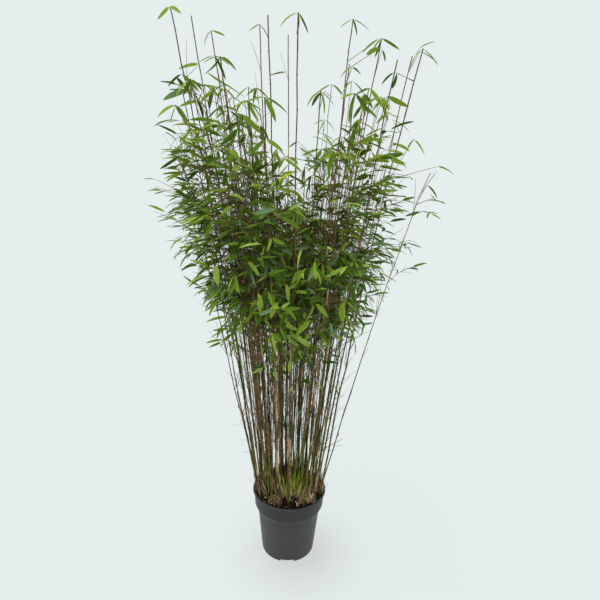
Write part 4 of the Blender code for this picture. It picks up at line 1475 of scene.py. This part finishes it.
class BAMBOO_OT_canes(bpy.types.Operator):
    """Add the canes, one closed internode after another, and the sheaths that wrap them"""

    bl_idname = "bamboo.canes"
    bl_label = "Canes and sheaths"

    def execute(self, context):
        made = plant()
        look = context.scene.bamboo_canes
        dice = np.random.default_rng(PLANT_SEED + 2)
        which, low = along_canes(made, 0, -1)
        high = along_canes(made, 1, None)[1]
        ridge = np.minimum(0.004, 0.2 * (high - low))
        rings = [low, low + 0.35 * ridge, low + ridge, 0.5 * (low + high)]
        rings += [high - 1.2 * ridge, high - 0.35 * ridge, high]
        heights = np.stack(rings, axis=1)
        swell = np.array([1.24, 1.16, 1.0, 0.985, 1.0, 1.10, 1.24])
        index = which[:, None].repeat(len(rings), axis=1)
        spots = line_at(made, index, heights)
        radii = cane_radius(made, index, heights) * (1.0 + (swell - 1.0) * (low > GROUND + 0.005)[:, None])
        kinks = joint_kinks(made, dice)
        ends = [np.concatenate([kink[:-1] for kink in kinks]), np.concatenate([kink[1:] for kink in kinks])]
        spots[..., :2] += between(*ends, (heights - low[:, None]) / (high - low)[:, None])
        group = self.dealt(made, dice, which, low, high)
        nodes = [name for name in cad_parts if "cane" in name]
        colours = (look.olive, look.brown, look.plum, look.fresh, scaled(look.olive, SHADED_OLIVE))
        for number, (name, streak, bloom) in enumerate(CULMS):
            mine = group == number
            part = tubes(spots[mine], radii[mine], CANE_SIDES, dice.integers(0, LANES, mine.sum()))
            material = culm_material(name, tuple(colours[number]), streak, bloom)
            new_piece(name, [part], material, nodes if number == 0 else ())
        self.sheaths(made, look, dice, which, low, high, ends, group == FRESH_CULM)
        self.wisps(made, dice)
        self.side_shoots(made, dice)
        return {"FINISHED"}

    def dealt(self, made, dice, which, low, high):
        """Which colour each internode gets: browner the higher it is, shaded and fresh ones near the foot."""
        foot = made.foot[which]
        middle = 0.5 * (low + high)
        tone = dice.uniform(0.0, 1.0, len(made.canes))[which]
        luck = 0.45 * dice.uniform(0.0, 1.0, len(low)) + 0.55 * tone
        luck = luck + steps_of(BROWNER, middle) - 0.30 * (foot[:, 0] > 0.0)
        group = np.digitize(luck, [0.48, 0.92])
        shaded = np.interp(np.hypot(foot[:, 0], foot[:, 1]), [0.03, 0.09], [0.50, 0.12])
        group[(dice.uniform(0.0, 1.0, len(low)) < shaded) & (middle < 1.2)] = SHADED_CULM
        near = np.hypot(foot[:, 0] - SHOOTS_PLACE[0], foot[:, 1] - SHOOTS_PLACE[1] - 0.025) < 0.045
        young = dice.uniform(0.0, 1.0, len(low)) < 0.6
        group[near & (high < GROUND + 0.22) & young] = FRESH_CULM
        group[(foot[:, 1] < -0.04) & (high < GROUND + 0.16) & (tone < 0.6)] = BROWN_CULM
        return group

    def sheaths(self, made, look, dice, which, low, high, ends, fresh):
        """Sleeves that hug the cane from a joint up, with a loose, slanting edge that turns in to it."""
        chance = steps_of(SHEATHED, 0.5 * (low + high)) * np.where(made.foot[which][:, 0] > 0.0, 0.55, 1.0)
        worn = (dice.uniform(0.0, 1.0, len(low)) < chance) & (low > GROUND) & ~fresh
        which, low, high, start, end = (part[worn] for part in (which, low, high, *ends))
        count = len(low)
        part = np.array([0.0, 0.03, 0.35, 0.7, 0.92, 1.0, 1.0])
        share = 0.012 + part * dice.uniform(0.35, 0.97, count)[:, None]
        heights = low[:, None] + share * (high - low)[:, None]
        index = which[:, None].repeat(len(part), axis=1)
        spots = line_at(made, index, heights)
        spots[..., :2] += between(start, end, share)
        loose = dice.uniform(0.4, 1.1, count)[:, None]
        grow = np.array([0.0004, 0.0006, 0.0003, 0.0003, 0.0005, 0.0007, -0.0002])
        radii = cane_radius(made, index, heights) + np.where(grow > 0, grow * loose, grow)
        lanes = dice.integers(0, LANES, count)
        turn = np.arange(SHEATH_SIDES) * math.tau / SHEATH_SIDES + dice.uniform(0, math.tau, count)[:, None]
        slant = dice.uniform(0.002, 0.012, count)[:, None] * (1.0 + np.cos(turn)) * -1.0
        fall = np.array([0.0, 0.0, 0.0, 0.3, 0.8, 1.0, 1.0])[None, :, None] * slant[:, None, :]
        fall = fall * np.minimum(1.0, (high - low) / 0.06)[:, None, None]
        pale = dice.uniform(0, 1, count) < PALE_SHEATHS
        for name, mine, colour, dark in (
            ("pale_sheaths", pale, tuple(look.sheath), (0.15, 0.085, 0.035)),
            ("brown_sheaths", ~pale, scaled(look.sheath, 0.32), (0.045, 0.026, 0.010)),
        ):
            points, faces, maps = tubes(spots[mine], radii[mine], SHEATH_SIDES, lanes[mine])
            points[:, 2] += fall[mine].ravel()
            new_piece(name, [(points, faces, maps)], sheath_material(name, colour, dark))

    def wisps(self, made, dice):
        """Fine dead twigs that curl off the canes' lower joints: start + L (t way + t t curl)."""
        which, height = along_canes(made, 2, -1)
        kept = (height > 0.34) & (height < 1.0) & (dice.uniform(0.0, 1.0, len(height)) < 0.45)
        which, height = which[kept], height[kept]
        count = len(which)
        way = level(dice.uniform(0.0, math.tau, count))
        way[:, 2] = dice.normal(0.9, 0.5, count)
        curl = dice.normal(0.0, 0.42, (count, 3))
        length = dice.uniform(0.012, 0.045, count)
        part = np.array([0.0, 0.25, 0.5, 0.75, 1.0])
        spots = line_at(made, which, height)[:, None] + length[:, None, None] * (
            unit(way)[:, None] * part[:, None] + curl[:, None] * (part * part)[:, None]
        )
        radii = dice.uniform(0.0005, 0.0008, count)[:, None] * (1.0 - 0.4 * part)
        bark = twig_material("dry_twig", (0.16, 0.10, 0.06), (0.07, 0.05, 0.03))
        ends = np.array(STRAY_TWIGS)
        stray = ends[:, :1] + (ends[:, 1:] - ends[:, :1]) * part[:, None]
        stray[..., 2] += 0.004 * np.sin(part * 5.0)
        stout = 0.0013 - 0.0006 * np.tile(part, (len(ends), 1))
        new_piece("dry_twigs", [tubes(spots, radii, 4), tubes(stray, stout, 6)], bark)

    def side_shoots(self, made, dice):
        """Bare side shoots close to the canes, steep and nearly straight: start + L (t way + 0.35 t t off).

        way is the cane's own direction plus off, at length one.
        """
        which, height = (part.repeat(2) for part in along_canes(made, 2, -1))
        kept = dice.uniform(0.0, 1.0, len(height)) < steps_of(SIDE_SHOOTS, height)
        which, height = which[kept], height[kept]
        count = len(which)
        start = line_at(made, which, height)
        ahead = unit(line_at(made, which, height + 0.01) - start)
        off = level(dice.uniform(0.0, math.tau, count)) * dice.uniform(0.12, 0.50, (count, 1))
        length = dice.uniform(0.04, 0.15, count)
        part = np.array([0.0, 0.3, 0.65, 1.0])
        line = unit(ahead + off)[:, None] * part[:, None] + off[:, None] * 0.35 * (part * part)[:, None]
        spots = start[:, None] + length[:, None, None] * line
        radii = dice.uniform(0.0005, 0.0010, count)[:, None] * (1.0 - 0.45 * part)
        bark = twig_material("side_shoot", (0.27, 0.145, 0.065), (0.10, 0.075, 0.025))
        new_piece("side_shoots", [tubes(spots, radii, 4)], bark)


def along_canes(made, first, last):
    """The cane's number and the height of each joint, from each cane's first to before its last."""
    heights = [joints[first:last] for joints in made.joints]
    which = np.concatenate([np.full(len(part), number) for number, part in enumerate(heights)])
    return which, np.concatenate(heights)


def between(start, end, share):
    """Rows from start to end by their shares: start (1 - share) + end share."""
    return start[:, None] * (1.0 - share[..., None]) + end[:, None] * share[..., None]


def joint_kinks(made, dice):
    """How far each joint stands off its cane's smooth line: none at the foot, about 1.5 mm above it."""
    found = []
    for heights in made.joints:
        heights = np.array(heights)
        size = KINK * ramp(heights - GROUND, 0.1)[:, None]
        found.append(dice.normal(0.0, 1.0, (len(heights), 2)) * size)
    return found


class BAMBOO_OT_branches(bpy.types.Operator):
    """Add the branches that leave the canes at their joints, and the twigs that carry the leaves"""

    bl_idname = "bamboo.branches"
    bl_label = "Branches and twigs"

    def execute(self, context):
        made = plant()
        dice = np.random.default_rng(PLANT_SEED + 3)
        part = np.array([0.0, 0.2, 0.4, 0.6, 0.8, 1.0])
        count = len(made.branch_length)
        which = np.arange(count)[:, None].repeat(len(part), axis=1)
        spots = along_branch(made, which, np.broadcast_to(part, which.shape))
        radii = BRANCH_RADIUS * dice.uniform(0.75, 1.15, count)[:, None] * (1.0 - 0.5 * part)
        bark = twig_material("branch_bark", (0.250, 0.128, 0.052), (0.120, 0.085, 0.028))
        new_piece("branches", [tubes(spots, radii, 5)], bark)
        part = np.array([0.0, 0.5, 1.0])
        twig = made.twig_heading * made.twig_length[:, None]
        spots = made.twig_start[:, None] + twig[:, None] * part[:, None]
        radii = TWIG_RADIUS * (1.0 - 0.35 * part) * np.ones((len(spots), 1))
        green = twig_material("twig_bark", (0.170, 0.135, 0.036), (0.190, 0.104, 0.048))
        new_piece("twigs", [tubes(spots, radii, 4)], green)
        return {"FINISHED"}


class BAMBOO_OT_leaves(bpy.types.Operator):
    """Add the leaves in fans on the twigs, dealt out by spray into pieces of one green each"""

    bl_idname = "bamboo.leaves"
    bl_label = "Leaves"

    def execute(self, context):
        made = plant()
        look = context.scene.bamboo_leaves
        dice = np.random.default_rng(PLANT_SEED + 4)
        count = len(made.leaf_length)
        hang = made.leaf_hang
        up = made.leaf_out * (dice.uniform(0.1, 0.7, count) + 0.7 * hang)[:, None]
        up = up + dice.normal(0.0, 0.42, (count, 3))
        up[:, 2] += 0.9 - 0.4 * hang
        up = unit(up)
        lengths = made.leaf_length * (look.length / LEAF_LENGTH)
        widths = look.width * (lengths / look.length) ** 0.7
        widths = widths * dice.uniform(0.75, 1.2, count) * made.leaf_broad
        root = made.leaf_root
        group = np.digitize(self.lightness_and_painted_shade(made, dice), SHADES)
        nodes = [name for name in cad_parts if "foliage" in name]
        for number, (name, colour) in enumerate(GREENS):
            parts = []
            for fine in (True, False):
                mine = (group == number) & ((made.leaf_broad > 1.1) == fine)
                rows = (root[mine], made.leaf_aim[mine], up[mine], lengths[mine], widths[mine])
                if mine.any():
                    parts.append(leaf_blades(*rows, dice, fine))
            material = leaf_material(name, colour, DRY_TIP if name in DRY_TIPPED else None)
            new_piece(name, parts, material, nodes if name == "mid_leaves" else ())
        return {"FINISHED"}

    def lightness_and_painted_shade(self, made, dice):
        """How light each leaf's green is: by its spray, lighter low in front, and painted shade inside the
        crown.
        """
        spray = made.leaf_shade
        x, y, z = made.leaf_root.T
        lower = ramp(1.40 - z, 0.45)
        front = np.clip(0.5 - y / 0.5, 0.0, 1.0)
        middle = 1.0 - ramp(np.abs(x - 0.04), 0.38)
        left = ramp(-0.12 - x, 0.2)
        upper = ramp(z - 1.25, 0.25)
        # Painted shade: leaves deep inside the crown, away from its top, are made darker.
        inner = ramp(0.80 - reach_share(made.leaf_root), 0.5) * (1.0 - upper)
        fresh = 0.20 + 0.28 * spray + 0.10 * lower * front * middle
        fresh = fresh + 0.03 * left + 0.03 * upper - 0.16 * inner
        fresh = fresh + 0.25 * (made.leaf_broad - 1.0) + dice.normal(0.0, 0.32, len(z))
        own = spray * 0.88 + dice.normal(0.0, 0.02, len(z))
        return np.where(made.leaf_own, own, np.minimum(fresh, 0.95))


class BAMBOO_OT_stage(bpy.types.Operator):
    """Add the plain floor, the even studio light with one soft lamp, and the camera"""

    bl_idname = "bamboo.stage"
    bl_label = "Floor, light and camera"

    def execute(self, context):
        look = context.scene.bamboo_stage
        backdrop = tuple(look.backdrop)
        world = bpy.data.worlds.new("studio")
        world.use_nodes = True
        world.node_tree.nodes["Background"].inputs["Color"].default_value = (*backdrop, 1.0)
        context.scene.world = world
        lamp = bpy.data.lights.new("soft_lamp", "SUN")
        lamp.angle = math.radians(LAMP_SPREAD)
        lamp.energy = look.lamp * math.pi
        lamp.color = LAMP_COLOUR
        lamp_object = bpy.data.objects.new("soft_lamp", lamp)
        way = Vector(LAMP_WAY)
        lamp_object.rotation_euler = way.to_track_quat("-Z", "Y").to_euler()
        context.scene.collection.objects.link(lamp_object)
        fall = -way.normalized().z
        colour = [part / (part + look.lamp * fall * tint) for part, tint in zip(backdrop, LAMP_COLOUR)]
        mesh = bpy.data.meshes.new("studio_floor")
        signs = ((-1, -1), (1, -1), (1, 1), (-1, 1))
        mesh.from_pydata([(x * FLOOR_HALF, y * FLOOR_HALF, 0.0) for x, y in signs], [], [(0, 1, 2, 3)])
        floor = bpy.data.objects.new("studio_floor", mesh)
        context.scene.collection.objects.link(floor)
        nodes = Nodes("studio_floor", 0.9, 0.0)
        nodes.shader.inputs["Base Color"].default_value = (*scaled(colour, 1.0 - look.glow), 1.0)
        # Painted shadow: the floor's glow is tinted darker near the pot's foot.
        ends = {0: nodes.object_place(), 1: PAINTED_SHADOW_PLACE}
        away = nodes.add("ShaderNodeVectorMath", ends, operation="DISTANCE").outputs["Value"]
        near = nodes.maths("POWER", nodes.band(away, *PAINTED_SHADOW_REACH, 1.0, 0.0), 1.5)
        painted_shadow = nodes.mix(near, backdrop, tinted(backdrop, PAINTED_SHADOW_TINT))
        nodes.tree.links.new(painted_shadow, nodes.shader.inputs["Emission Color"])
        nodes.shader.inputs["Emission Strength"].default_value = look.glow
        mesh.materials.append(nodes.material)
        context.scene.view_settings.view_transform = "Standard"
        self.camera(context)
        return {"FINISHED"}

    def camera(self, context):
        """The camera looks down a little, from in front, and is rolled slightly."""
        forward, right, up = camera_axes()
        data = bpy.data.cameras.new("camera")
        data.lens = CAMERA_LENS
        data.sensor_width = CAMERA_SENSOR
        camera = bpy.data.objects.new("camera", data)
        turn = Matrix((right, up, -forward)).transposed()
        camera.matrix_world = Matrix.Translation(CAMERA_PLACE) @ turn.to_4x4()
        context.scene.collection.objects.link(camera)
        context.scene.camera = camera


class BAMBOO_PT_panel(bpy.types.Panel):
    bl_label = "Potted bamboo"
    bl_idname = "BAMBOO_PT_panel"
    bl_space_type = "VIEW_3D"
    bl_region_type = "UI"
    bl_category = "Bamboo"

    def draw(self, context):
        for group in GROUPS:
            owner = getattr(context.scene, group)
            for name in owner.__annotations__:
                self.layout.prop(owner, name)
        for operator in OPERATORS:
            self.layout.operator(operator.bl_idname)


GROUPS = {
    "bamboo_pot": BambooPot,
    "bamboo_canes": BambooCanes,
    "bamboo_leaves": BambooLeaves,
    "bamboo_stage": BambooStage,
}
OPERATORS = (
    BAMBOO_OT_pot,
    BAMBOO_OT_soil,
    BAMBOO_OT_canes,
    BAMBOO_OT_branches,
    BAMBOO_OT_leaves,
    BAMBOO_OT_stage,
)
CLASSES = (*GROUPS.values(), *OPERATORS, BAMBOO_PT_panel)


def register():
    for made in CLASSES:
        bpy.utils.register_class(made)
    for name, group in GROUPS.items():
        setattr(bpy.types.Scene, name, bpy.props.PointerProperty(type=group))


def unregister():
    for name in GROUPS:
        delattr(bpy.types.Scene, name)
    for made in reversed(CLASSES):
        bpy.utils.unregister_class(made)


def main():
    register()
    bpy.ops.bamboo.pot()
    bpy.ops.bamboo.soil()
    bpy.ops.bamboo.canes()
    bpy.ops.bamboo.branches()
    bpy.ops.bamboo.leaves()
    bpy.ops.bamboo.stage()


if __name__ == "__main__":
    main()
